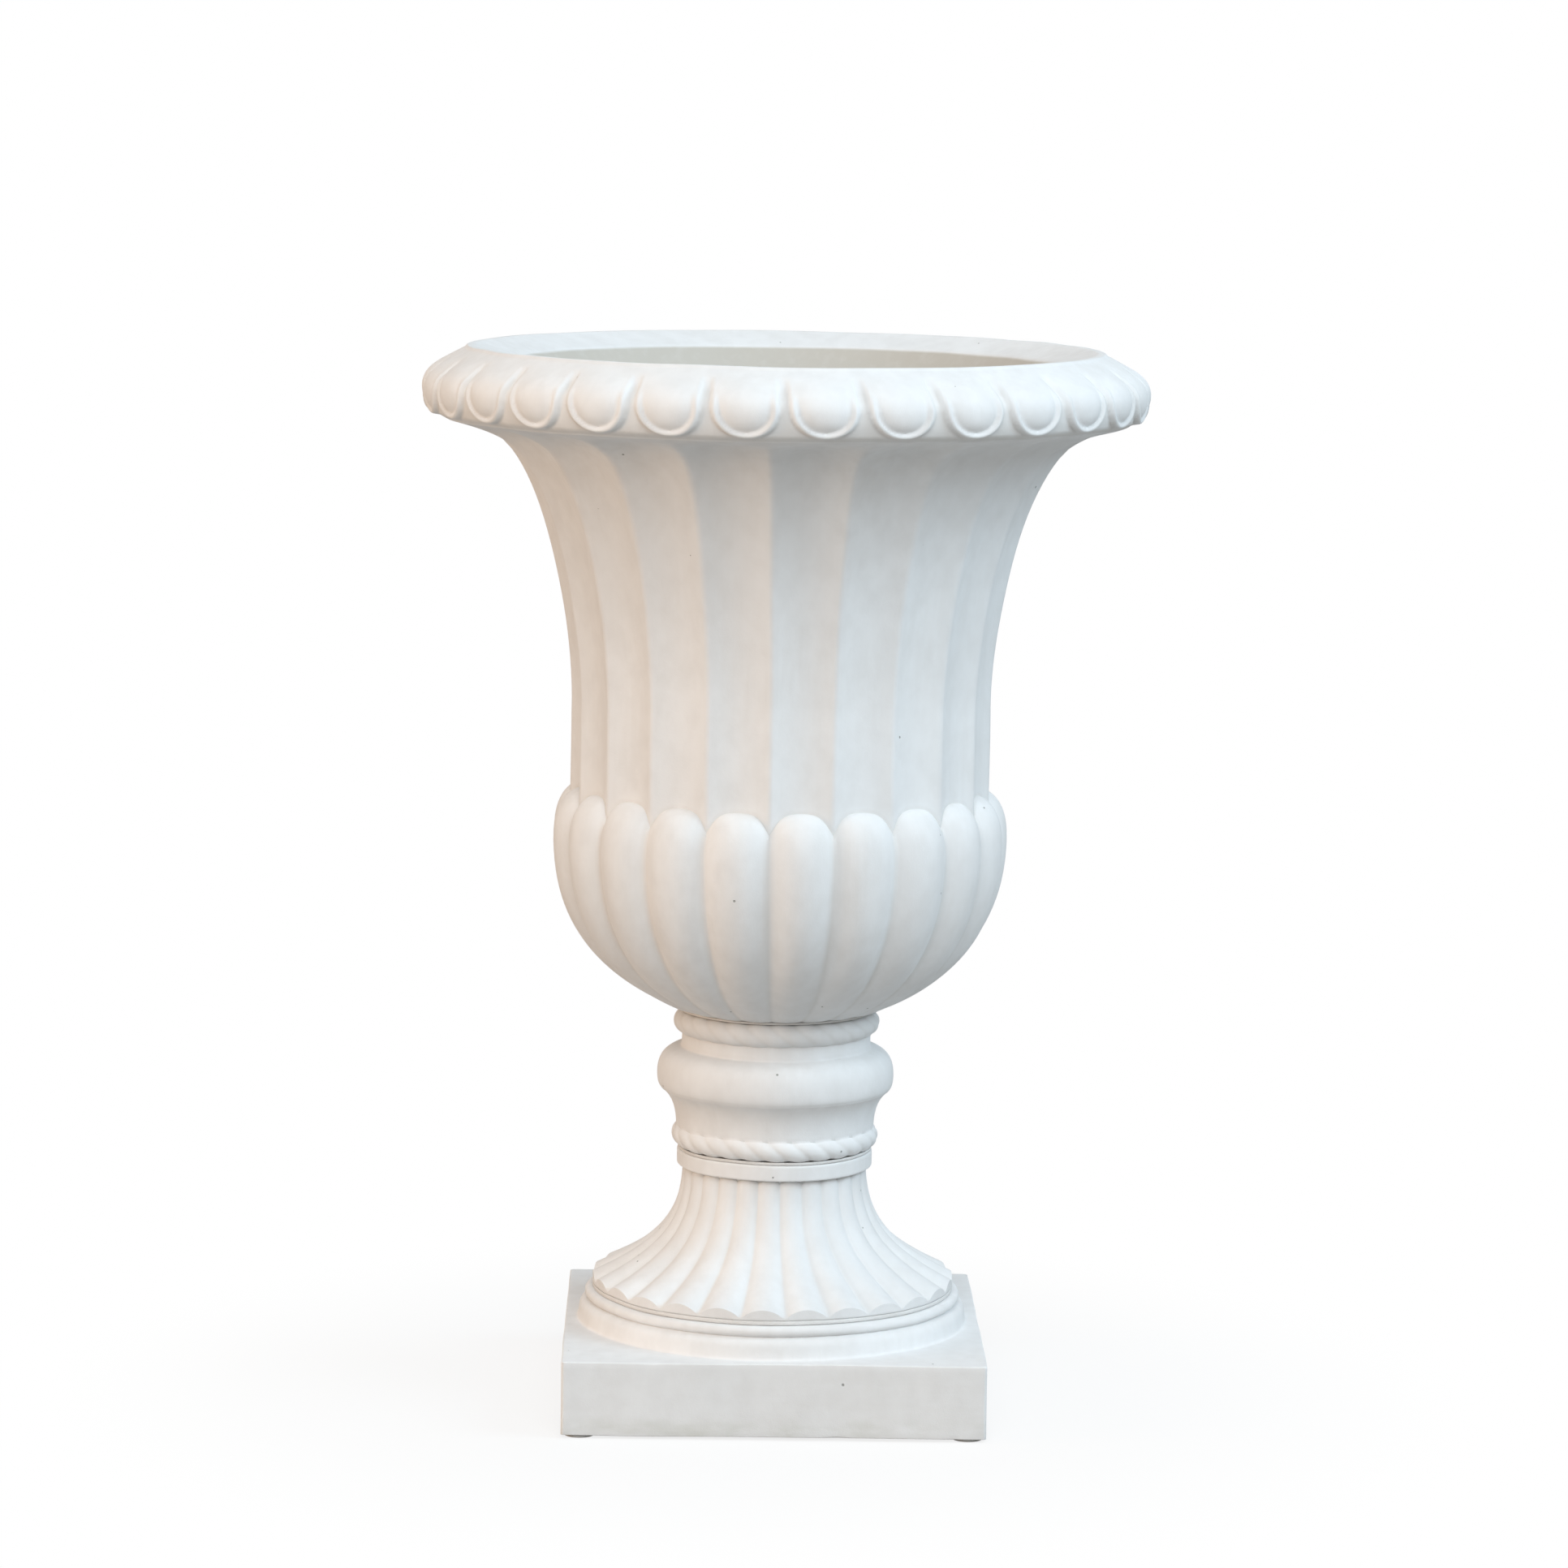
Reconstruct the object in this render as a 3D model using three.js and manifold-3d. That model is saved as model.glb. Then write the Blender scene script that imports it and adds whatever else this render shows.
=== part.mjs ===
// Garden urn planter: a bell-shaped bowl on a turned stem, a ribbed foot and a square plinth.
// The four castings are stacked on bedding rings and clamped by one tie rod.
// Millimetres, +Z up, origin on the ground at the middle of the plinth. The front faces -Y.

import * as THREE from 'three';
import { mergeVertices } from 'three/addons/utils/BufferGeometryUtils.js';
import Module from 'manifold-3d';

const wasm = await Module();
wasm.setup();

// ---- Driving dimensions ----

const seatGap = 0.3; // between a piece and what carries it
const slideGap = 0.5; // round a spigot in its socket
const holeGap = 1; // round the tie rod in the castings

const padRadius = 11;
const padThickness = 2;
const padInset = 13; // from the plinth's edge to a pad's centre

const plinthSide = 300;
const plinthThickness = 52.7;
const plinthWall = 26;
const plinthHollowDepth = 28;
const nutPocketRadius = 60;
const nutPocketDepth = 14;
const lowerTorusRadius = 140;
const lowerTorusHeight = 15.3;
const lowerTorusDepth = 8; // from its edge back to its upper end
const torusFootSpread = 1; // how far it stands out where it meets the block
const upperTorusRadius = 136;
const upperTorusHeight = 7.7;
const upperTorusDepth = 4;
const baseShoulder = 35.5; // from the foot's edge in to the base's spigot
const baseSpigotWall = 12;

const bedThickness = 1.4; // bedding ring in each joint
const bedInset = 5; // how far a bedding ring lies back from the casting's edge
const spigotHeight = 8;
const footShoulder = 16.5; // from the fillet's edge in to the stem's lower spigot
const bowlShoulder = 20; // from the bowl's foot in to the stem's upper spigot
const socketClearance = 1.5; // above a spigot

const footNeckRadius = 129.5;
const footNeckHeight = 3.5;
const footEdgeRadius = 131;
const footEdgeHeight = 5.5; // at a rib's back; the grooves between the ribs sink into it
const footFlareHeight = 75;
const footWaistRadius = 66.7;
const footRibTop = 5; // plain height above the flare, where the rib tops are rounded
const footFilletRadius = 70.5;
const footFilletHeight = 11.5;
const footHollowHeight = 60;
const ribCount = 26;
const ribPhase = 3; // degrees from the front to a groove between two ribs
const ribDepthBottom = 5;
const ribDepthTop = 2;

const ropeRadius = 74.6; // outer radius of both rope rings
const ropeThickness = 17;
const ropeStrands = 26;
const ropeDepth = 2.4;
const cavettoRadius = 71.5;
const cavettoHeight = 26;
const knopArrisRadius = 83;
const knopRadius = 85.6;
const knopHeight = 30;
const neckRadius = 68.3;
const neckHeight = 10;

const bowlFootRadius = 74;
const cupHeight = 122.5; // from the bowl's underside to the cup's widest line
const cupBulge = 13; // how far the lobes stand out past the bell
const cupTopHeight = 40; // from the widest line to the shoulder
const bellRadius = 151;
const bellStraight = 53;
const bellFlareHeight = 190;
const bellFlareWidth = 49;
const fluteCount = 21;
const flutePhase = -3.7; // degrees from the front to a ridge between two flutes
const fluteDepth = 6;
const fluteFadeStart = 30; // below the rim, where the flutes begin to fade
const fluteFadeEnd = 2;
const lobeDepthTop = 10;
const lobeDepthBottom = 3;
const lobeShoulderDrop = 14; // how much lower a lobe's top lies at its sides

const rimOverhang = 60; // from the bell's top to the rim's widest line
const rimNoseHeight = 37; // from the rim's underside to its widest line
const rimEdgeDrop = 15; // from the widest line down to the rim's lower edge
const rimEdgeInset = 4; // and back to it
const rimCrownHeight = 30.5; // from the widest line to the collar
const rimCrownWidth = 31;
const collarHeight = 2.5;
const collarSlope = 2; // how far the collar leans in over its height
const lipWidth = 5; // flat ring on top of the collar
const bevelWidth = 27; // slope from the lip down into the mouth
const bevelDepth = 10;
const rimHidden = 12; // how far the rim reaches into the bell's wall
const rimLap = 2; // how far its underside starts inside the bell's top edge
const eggCount = 30;
const eggPhase = 4.8; // degrees from the front to the middle of an egg
const eggDepth = 5;
const eggRadius = 20; // of the round lower end of an egg
const eggSlope = 14; // from there out to the ground between the eggs
const eggCentreRise = 10; // from the rim's widest line up to an egg's centre

const bellWall = 25; // at the ridges of the flutes
const innerStraightBelow = 17; // straight inner wall, below the shoulder
const innerStraightAbove = 40; // and above the start of the flare
const floorRadius = 50;
const floorThickness = 31.5;

const rodRadius = 8;
const rodProud = 4; // rod past the nut at each end
const threadGap = 0.3;
const nutAcrossFlats = 24;
const nutHeight = 13;
const lockNutHeight = 8;
const plateWasherRadius = 26;
const plateWasherThickness = 4;
const sealThickness = 3;
const drainRadius = 5;
const drainClearance = 3; // from a plate washer to a drain hole
const drainCount = 3;

// ---- Sizes that follow from them ----

const drainCircleRadius = plateWasherRadius + drainClearance + drainRadius;
const coreRadius = drainCircleRadius + drainRadius + holeGap; // hollow down through the stem and the foot
const baseSpigotRadius = footNeckRadius - baseShoulder;
const lowerSpigotRadius = footFilletRadius - footShoulder;
const upperSpigotRadius = bowlFootRadius - bowlShoulder;
const cupRadius = bellRadius + cupBulge;
const bellTopRadius = bellRadius + bellFlareWidth;
const rimRadius = bellTopRadius + rimOverhang;
const collarRadius = rimRadius - rimCrownWidth;
const lipRadius = collarRadius - collarSlope - lipWidth;
const mouthRadius = lipRadius - bevelWidth;
const innerRadius = bellRadius - bellWall;

// ---- Heights of the stack, from the ground up ----

const plinthBottom = padThickness + seatGap;
const plinthTop = plinthBottom + plinthThickness;
const baseTop = plinthTop + lowerTorusHeight + upperTorusHeight;
const jointHeight = bedThickness + 2 * seatGap;
const footBottom = baseTop + jointHeight;
const flareBottom = footBottom + footNeckHeight + footEdgeHeight;
const flareTop = flareBottom + footFlareHeight;
const filletBottom = flareTop + footRibTop;
const footTop = filletBottom + footFilletHeight;
const stemBottom = footTop + jointHeight;
const cavettoBottom = stemBottom + ropeThickness;
const knopBottom = cavettoBottom + cavettoHeight;
const neckBottom = knopBottom + knopHeight;
const upperRopeBottom = neckBottom + neckHeight;
const stemTop = upperRopeBottom + ropeThickness;
const bowlBottom = stemTop + jointHeight;
const cupWidest = bowlBottom + cupHeight;
const shoulder = cupWidest + cupTopHeight;
const flareStart = shoulder + bellStraight;
const rimBottom = flareStart + bellFlareHeight;
const rimWidest = rimBottom + rimNoseHeight;
const collarBottom = rimWidest + rimCrownHeight;
const rimTop = collarBottom + collarHeight;
const floorTop = bowlBottom + floorThickness;
const webBottom = plinthBottom + plinthHollowDepth + nutPocketDepth;

// ---- Outlines ----

const at = (radius, height) => new THREE.Vector2(radius, height);

// A cubic curve between two points. Its two control points are shares of the box between them.
function bow(from, to, leave, arrive, steps) {
  const control = (share) => at(
    from.x + (to.x - from.x) * share[0],
    from.y + (to.y - from.y) * share[1],
  );
  return new THREE.CubicBezierCurve(from, control(leave), control(arrive), to).getPoints(steps);
}

// Half a turned bead that stands out to a radius between two heights.
function bead(radius, bottom, top, standing, steps) {
  const half = (top - bottom) / 2;
  const curve = new THREE.EllipseCurve(
    radius - standing, bottom + half, standing, half, -Math.PI / 2, Math.PI / 2);
  return curve.getPoints(steps);
}

// Closes an outline on its own first point.
const closed = (points) => [...points, points[0].clone()];

const smooth = (low, high, x) => THREE.MathUtils.smoothstep(x, low, high);

// Position across a repeat of a pattern, from -1 at one edge through 0 in its middle to 1.
function across(turn, count) {
  const share = turn * count / (2 * Math.PI);
  return 2 * (share - Math.floor(share)) - 1;
}

// ---- Solids ----

// Turns a closed outline about Z. outlineAt gives the outline at each angle from the front.
function turnCarved(outlineAt, segments) {
  const first = outlineAt(0);
  const geometry = new THREE.LatheGeometry(first, segments);
  const position = geometry.attributes.position;
  for (let i = 0; i <= segments; i++) {
    const turn = 2 * Math.PI * (i % segments) / segments;
    outlineAt(turn).forEach((p, j) => {
      position.setXYZ(i * first.length + j, p.x * Math.sin(turn), p.y, p.x * Math.cos(turn));
    });
  }
  return geometry.rotateX(Math.PI / 2);
}

const turned = (outline, segments) => turnCarved(() => outline, segments);

// A ring or a disc with square edges, between two heights.
function ring(innerEdge, outerEdge, bottom, top, segments = 32) {
  const outline = [
    at(innerEdge, bottom), at(outerEdge, bottom), at(outerEdge, top), at(innerEdge, top),
  ];
  return turned(closed(outline), segments);
}

function rod(radius, bottom, top, x = 0, y = 0, segments = 16) {
  const geometry = new THREE.CylinderGeometry(radius, radius, top - bottom, segments);
  return geometry.rotateX(Math.PI / 2).translate(x, y, (bottom + top) / 2);
}

function slab(side, bottom, top) {
  const geometry = new THREE.BoxGeometry(side, side, top - bottom);
  return geometry.translate(0, 0, (bottom + top) / 2);
}

function signedVolume(position, index) {
  const [a, b, c] = [new THREE.Vector3(), new THREE.Vector3(), new THREE.Vector3()];
  let sum = 0;
  for (let i = 0; i < index.length; i += 3) {
    a.fromBufferAttribute(position, index[i]);
    b.fromBufferAttribute(position, index[i + 1]);
    c.fromBufferAttribute(position, index[i + 2]);
    sum += a.dot(b.cross(c));
  }
  return sum / 6;
}

// Leaves out the triangles that a turned outline's ends fold flat on the axis.
function withoutSlivers(index) {
  const kept = [];
  for (let i = 0; i < index.length; i += 3) {
    const [a, b, c] = [index[i], index[i + 1], index[i + 2]];
    if (a !== b && b !== c && c !== a) kept.push(a, b, c);
  }
  return kept;
}

function toSolid(geometry) {
  geometry.deleteAttribute('normal');
  geometry.deleteAttribute('uv');
  const merged = mergeVertices(geometry);
  const index = Uint32Array.from(withoutSlivers(merged.index.array));
  if (signedVolume(merged.attributes.position, index) < 0) index.reverse();
  return new wasm.Manifold(new wasm.Mesh({
    numProp: 3,
    vertProperties: Float32Array.from(merged.attributes.position.array),
    triVerts: index,
  }));
}

function toGeometry(solid) {
  const mesh = solid.getMesh();
  const geometry = new THREE.BufferGeometry();
  geometry.setAttribute('position', new THREE.BufferAttribute(mesh.vertProperties, 3));
  geometry.setIndex(new THREE.BufferAttribute(mesh.triVerts, 1));
  geometry.computeVertexNormals();
  return geometry;
}

// Joins the added shapes and cuts the others out of them.
function build(added, cut = []) {
  const whole = added.map(toSolid).reduce((sum, next) => sum.add(next));
  return toGeometry(cut.map(toSolid).reduce((rest, next) => rest.subtract(next), whole));
}

const turnedBy = (geometry, degrees) => geometry.rotateZ(THREE.MathUtils.degToRad(degrees));

// Drain holes on a circle round the tie rod's hole, between two heights.
function throughHoles(bottom, top) {
  const holes = [rod(rodRadius + holeGap, bottom, top)];
  for (let i = 0; i < drainCount; i++) {
    const turn = 2 * Math.PI * i / drainCount;
    const x = drainCircleRadius * Math.sin(turn);
    const y = -drainCircleRadius * Math.cos(turn);
    holes.push(rod(drainRadius, bottom, top, x, y, 16));
  }
  return holes;
}

// ---- Plinth: square block with two torus rings and a registering spigot ----

function plinth() {
  const upperBottom = plinthTop + lowerTorusHeight;
  const coreEdge = footNeckRadius;
  const rings = closed([
    at(rodRadius, plinthBottom + plinthHollowDepth),
    at(coreEdge, plinthBottom + plinthHollowDepth),
    at(coreEdge, plinthTop),
    at(lowerTorusRadius + torusFootSpread, plinthTop),
    ...bead(lowerTorusRadius, plinthTop, upperBottom, lowerTorusDepth, 6).slice(3),
    ...bead(upperTorusRadius, upperBottom, baseTop, upperTorusDepth, 4),
    at(coreEdge, baseTop),
    at(baseSpigotRadius, baseTop),
    at(baseSpigotRadius, baseTop + spigotHeight),
    at(baseSpigotRadius - baseSpigotWall, baseTop + spigotHeight),
    at(baseSpigotRadius - baseSpigotWall, baseTop),
    at(rodRadius, baseTop),
  ]);
  const hollowSide = plinthSide - 2 * plinthWall;
  const hollowTop = plinthBottom + plinthHollowDepth;
  return build(
    [slab(plinthSide, plinthBottom, plinthTop), turned(rings, 48)],
    [
      slab(hollowSide, plinthBottom - 1, hollowTop),
      rod(nutPocketRadius, hollowTop - 1, webBottom, 0, 0, 24),
      ...throughHoles(webBottom - 1, baseTop + 1),
    ],
  );
}

// ---- Foot: flared casting with convex ribs ----

// Depth of the groove beside a rib, as a share: 0 on the rib's back and 1 in the groove.
const ribGroove = (u) => u * u;

function footOutlineAt(turn) {
  const u = across(turn, ribCount);
  const flare = bow(
    at(footEdgeRadius, flareBottom), at(footWaistRadius, flareTop), [0.65, 0.27], [0.95, 0.48], 5);
  const ribs = flare.map((p) => {
    const share = (p.y - flareBottom) / footFlareHeight;
    const depth = THREE.MathUtils.lerp(ribDepthBottom, ribDepthTop, Math.sqrt(share)) * ribGroove(u);
    const lean = 1 - share; // near the edge the face looks up, so the groove sinks rather than narrows
    return at(p.x - depth * (1 - lean), p.y - depth * lean);
  });
  return closed([
    at(coreRadius, footBottom),
    at(footNeckRadius, footBottom),
    at(footNeckRadius, footBottom + footNeckHeight),
    at(footEdgeRadius, footBottom + footNeckHeight),
    ...ribs,
    at(footWaistRadius - ribDepthTop, filletBottom),
    at(footFilletRadius, filletBottom),
    at(footFilletRadius, footTop),
    at(coreRadius, footTop),
  ]);
}

function foot() {
  const socketBottom = footTop - spigotHeight - socketClearance;
  const hollow = closed([
    at(coreRadius - 1, footBottom - 1),
    at(baseSpigotRadius + slideGap, footBottom - 1),
    at(baseSpigotRadius + slideGap, footBottom + spigotHeight + socketClearance),
    at(coreRadius, footBottom + footHollowHeight),
    at(coreRadius - 1, footBottom + footHollowHeight),
  ]);
  const body = turnedBy(turnCarved(footOutlineAt, ribCount * 3), ribPhase);
  return build(
    [body],
    [
      turned(hollow, 36),
      ring(coreRadius - 1, lowerSpigotRadius + slideGap, socketBottom, footTop + 1),
    ],
  );
}

// ---- Stem: knop between two rope rings ----

// A ring of twisted strands. Each strand runs one repeat to the right from its top to its foot.
function rope(bottom) {
  const half = ropeThickness / 2;
  const steps = 4;
  const outlineAt = (turn) => {
    const points = [at(ropeRadius - ropeThickness, bottom + half)];
    for (let i = 0; i <= steps; i++) {
      const lean = Math.PI * (i / steps - 0.5);
      const down = -Math.sin(lean) / 2;
      const strand = across(turn - down * 2 * Math.PI / ropeStrands, ropeStrands);
      const radius = half - ropeDepth * strand * strand;
      points.push(at(
        ropeRadius - half + radius * Math.cos(lean),
        bottom + half + (half - 0.1) / half * radius * Math.sin(lean),
      ));
    }
    return closed(points);
  };
  return turnCarved(outlineAt, ropeStrands * 3);
}

function stem() {
  const ropeCore = ropeRadius - ropeThickness / 2 + ropeDepth;
  const knopWidest = knopBottom + knopHeight / 3;
  const outline = closed([
    at(coreRadius, stemBottom - spigotHeight),
    at(lowerSpigotRadius, stemBottom - spigotHeight),
    at(lowerSpigotRadius, stemBottom),
    at(ropeCore, stemBottom),
    at(ropeCore, cavettoBottom),
    ...bow(at(cavettoRadius, cavettoBottom), at(knopArrisRadius, knopBottom), [0.05, 0.5], [0.4, 0.8], 4),
    ...bow(at(knopArrisRadius, knopBottom), at(knopRadius, knopWidest), [0.6, 0.1], [1, 0.5], 2).slice(1),
    ...bow(at(knopRadius, knopWidest), at(neckRadius + 1, neckBottom), [0, 0.55], [0.25, 0.92], 4).slice(1),
    at(neckRadius, neckBottom + 1),
    at(neckRadius, upperRopeBottom),
    at(ropeCore, upperRopeBottom),
    at(ropeCore, stemTop),
    at(upperSpigotRadius, stemTop),
    at(upperSpigotRadius, stemTop + spigotHeight),
    at(coreRadius, stemTop + spigotHeight),
  ]);
  return build([turned(outline, 40), rope(stemBottom), rope(upperRopeBottom)]);
}

// ---- Bowl: gadrooned cup, fluted bell and egg rim ----

// The cup's lobes: the radius at a height, between two lobes at u = -1 and 1.
function lobeRadius(height, u) {
  const side = Math.abs(u);
  if (height <= cupWidest) {
    const share = (height - bowlBottom) / cupHeight;
    const depth = THREE.MathUtils.lerp(lobeDepthBottom, lobeDepthTop, smooth(0, 0.5, share));
    return cupRadiusAt(height) - depth * u * u;
  }
  const reach = cupTopHeight - lobeShoulderDrop * side ** 2.5;
  const share = (height - cupWidest) / reach;
  if (share >= 1) return 0;
  const overhang = (cupBulge + lobeDepthTop) * Math.sqrt(1 - share ** 2.6);
  return bellRadius - lobeDepthTop + overhang - lobeDepthTop * u * u;
}

const cupLine = (steps) => bow(
  at(bowlFootRadius, bowlBottom), at(cupRadius, cupWidest), [0.49, 0.16], [0.98, 0.41], steps);

const cupCurve = cupLine(60);

function cupRadiusAt(height) {
  const after = cupCurve.findIndex((p) => p.y >= height);
  if (after <= 0) return cupCurve[0].x;
  const [low, high] = [cupCurve[after - 1], cupCurve[after]];
  return THREE.MathUtils.lerp(low.x, high.x, (height - low.y) / (high.y - low.y));
}

// Depth of a concave flute: none on the ridges at u = -1 and 1, and none near the rim.
function fluteAt(height, u) {
  const fade = 1 - smooth(rimBottom - fluteFadeStart, rimBottom - fluteFadeEnd, height);
  return fluteDepth * (1 - u * u) * fade;
}

function bodyOutlineAt(turn) {
  const u = across(turn, fluteCount);
  const topHeights = [0.4, 0.7, 0.9, 1].map((share) => cupWidest + cupTopHeight * share);
  const flare = bow(
    at(bellRadius, flareStart), at(bellTopRadius, rimBottom), [-0.027, 0.27], [0.32, 0.81], 5);
  return [
    at(0, bowlBottom),
    ...cupLine(5).map((p) => at(lobeRadius(p.y, u), p.y)),
    ...topHeights.map((z) => at(Math.max(lobeRadius(z, u), bellRadius - fluteAt(z, u)), z)),
    ...flare.map((p) => at(p.x - fluteAt(p.y, u), p.y)),
    at(lipRadius, rimTop - bevelDepth),
    at(0, rimTop - bevelDepth),
  ];
}

// The rim's egg moulding lies on a roll: along the soffit to the lower edge, up the nose to the
// widest line and over the crown to the collar.
function rimOutlineAt(turn) {
  const u = across(turn, eggCount);
  const edge = at(rimRadius - rimEdgeInset, rimWidest - rimEdgeDrop);
  const widest = at(rimRadius, rimWidest);
  const soffit = bow(at(bellTopRadius - rimLap, rimBottom), edge, [0.21, 0.48], [0.68, 0.86], 3);
  const nose = bow(edge, widest, [0.58, 0.17], [1, 0.6], 2);
  const crown = bow(widest, at(collarRadius, collarBottom), [-0.03, 0.54], [0.35, 0.66], 4);
  const halfPitch = Math.PI * rimRadius / eggCount;
  const roll = [...soffit, ...nose.slice(1), ...crown.slice(1)].map((p) => {
    const rise = p.y - (rimWidest + eggCentreRise);
    const away = Math.hypot(u * halfPitch, Math.min(rise, 0));
    const fade = 1 - smooth(rimWidest + eggCentreRise, collarBottom, p.y);
    const start = smooth(edge.y - eggDepth, edge.y, p.y);
    const depth = eggDepth * smooth(eggRadius, eggRadius + eggSlope, away) * fade * start;
    const lift = p.y <= edge.y ? 0.5 : -0.5 * smooth(edge.y, collarBottom, p.y);
    return at(p.x - depth * 0.9, p.y + depth * lift);
  });
  return closed([
    ...roll,
    at(collarRadius - collarSlope, rimTop),
    at(mouthRadius - rimHidden, rimTop),
    at(mouthRadius - rimHidden, rimBottom + rimHidden),
  ]);
}

function hollowOutline() {
  const straightBottom = shoulder - innerStraightBelow;
  const straightTop = flareStart + innerStraightAbove;
  return [
    at(0, floorTop),
    ...bow(at(floorRadius, floorTop), at(innerRadius, straightBottom), [0.7, 0.05], [1, 0.4], 5),
    ...bow(
      at(innerRadius, straightTop), at(mouthRadius, rimTop - bevelDepth), [0.03, 0.48], [0.64, 0.88], 5),
    at(lipRadius, rimTop),
    at(lipRadius, rimTop + 1),
    at(0, rimTop + 1),
  ];
}

function bowl() {
  const body = turnedBy(turnCarved(bodyOutlineAt, fluteCount * 4), flutePhase);
  const halfEgg = 180 / eggCount;
  const rim = turnedBy(turnCarved(rimOutlineAt, eggCount * 4), eggPhase - halfEgg);
  const socketTop = bowlBottom + spigotHeight + socketClearance;
  return build(
    [body, rim],
    [
      turned(hollowOutline(), 42),
      rod(upperSpigotRadius + slideGap, bowlBottom - 1, socketTop, 0, 0, 32),
      ...throughHoles(socketTop - 1, floorTop + 1),
    ],
  );
}

// ---- Tie rod, nuts, washers, beds and pads ----

const sealBottom = floorTop + seatGap;
const topWasherBottom = sealBottom + sealThickness + seatGap;
const topNutBottom = topWasherBottom + plateWasherThickness + seatGap;
const bottomWasherTop = webBottom - seatGap;
const bottomNutTop = bottomWasherTop - plateWasherThickness - seatGap;
const lockNutTop = bottomNutTop - nutHeight - seatGap;

function nut(bottom, height) {
  const corner = nutAcrossFlats / 2 / Math.cos(Math.PI / 6);
  const shape = new THREE.Shape();
  for (let i = 0; i < 6; i++) {
    const turn = i * Math.PI / 3;
    const [x, y] = [corner * Math.cos(turn), corner * Math.sin(turn)];
    if (i === 0) shape.moveTo(x, y);
    else shape.lineTo(x, y);
  }
  shape.closePath();
  shape.holes.push(new THREE.Path().absarc(0, 0, rodRadius + threadGap, 0, 2 * Math.PI, true));
  const geometry = new THREE.ExtrudeGeometry(shape, {
    depth: height, bevelEnabled: false, curveSegments: 10,
  });
  return build([geometry.translate(0, 0, bottom)]);
}

const washer = (outer, bottom, thickness) =>
  build([ring(rodRadius + threadGap, outer, bottom, bottom + thickness, 24)]);

// A bedding ring lies round the spigot, back from the castings' edge.
const bed = (spigotEdge, castingEdge, castingTop) =>
  build([ring(spigotEdge + slideGap, castingEdge - bedInset, castingTop + seatGap,
    castingTop + seatGap + bedThickness)]);

function tieRod() {
  const bottom = lockNutTop - lockNutHeight - rodProud;
  const top = topNutBottom + nutHeight + rodProud;
  return build([rod(rodRadius, bottom, top, 0, 0, 20)]);
}

// ---- Assembly ----

const urn = new THREE.Group();

const castStone = { color: 0xe3dfd9, roughness: 0.86, metalness: 0 };
const mortar = { color: 0xb9b3aa, roughness: 0.95, metalness: 0 };
const zincSteel = { color: 0xb4b8bb, roughness: 0.38, metalness: 1 };
const blackRubber = { color: 0x1c1c1d, roughness: 0.8, metalness: 0 };

function add(name, geometry, finish) {
  const mesh = new THREE.Mesh(geometry, new THREE.MeshStandardMaterial(finish));
  mesh.name = name;
  urn.add(mesh);
  return mesh;
}

add('plinth', plinth(), castStone);
add('foot', foot(), castStone);
add('stem', stem(), castStone);
add('bowl', bowl(), castStone);

add('foot_bed', bed(baseSpigotRadius, footNeckRadius, baseTop), mortar);
add('stem_bed', bed(lowerSpigotRadius, footFilletRadius, footTop), mortar);
add('bowl_bed', bed(upperSpigotRadius, bowlFootRadius - lobeDepthBottom, stemTop), mortar);

add('tie_rod', tieRod(), zincSteel);
add('sealing_washer', washer(plateWasherRadius, sealBottom, sealThickness), blackRubber);
add('top_washer', washer(plateWasherRadius, topWasherBottom, plateWasherThickness), zincSteel);
add('top_nut', nut(topNutBottom, nutHeight), zincSteel);
add('bottom_washer',
  washer(plateWasherRadius, bottomWasherTop - plateWasherThickness, plateWasherThickness), zincSteel);
add('bottom_nut', nut(bottomNutTop - nutHeight, nutHeight), zincSteel);
add('lock_nut', nut(lockNutTop - lockNutHeight, lockNutHeight), zincSteel);

const padPlace = plinthSide / 2 - padInset;
for (const [end, y] of [['front', -padPlace], ['back', padPlace]]) {
  for (const [side, x] of [['left', -padPlace], ['right', padPlace]]) {
    const pad = add(`pad_${end}_${side}`, build([rod(padRadius, 0, padThickness)]), blackRubber);
    pad.position.set(x, y, 0);
  }
}

export default urn;
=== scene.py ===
# %% [markdown]
# # A garden urn planter in cast stone
#
# The urn is four castings stacked on thin beds of mortar: plinth, foot, stem and bowl. One steel rod
# down the middle clamps them together. The CAD model holds every piece at its real size, and this
# notebook gives each of them its finished surface, material and light. It works in metres, with +Z up
# and the front facing -Y.
#
# Cast stone like this is turned work with a carved pattern on it. So every casting here is one stack
# of closed loops round the Z axis: a loop is a row of points, and a pattern is a formula that moves
# them in or out. That keeps a casting one closed skin, with many points where the carving is fine and
# few where the surface is plain.

# %% Load the frame
import math

import bpy
import numpy as np
from mathutils import Matrix, Vector


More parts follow.
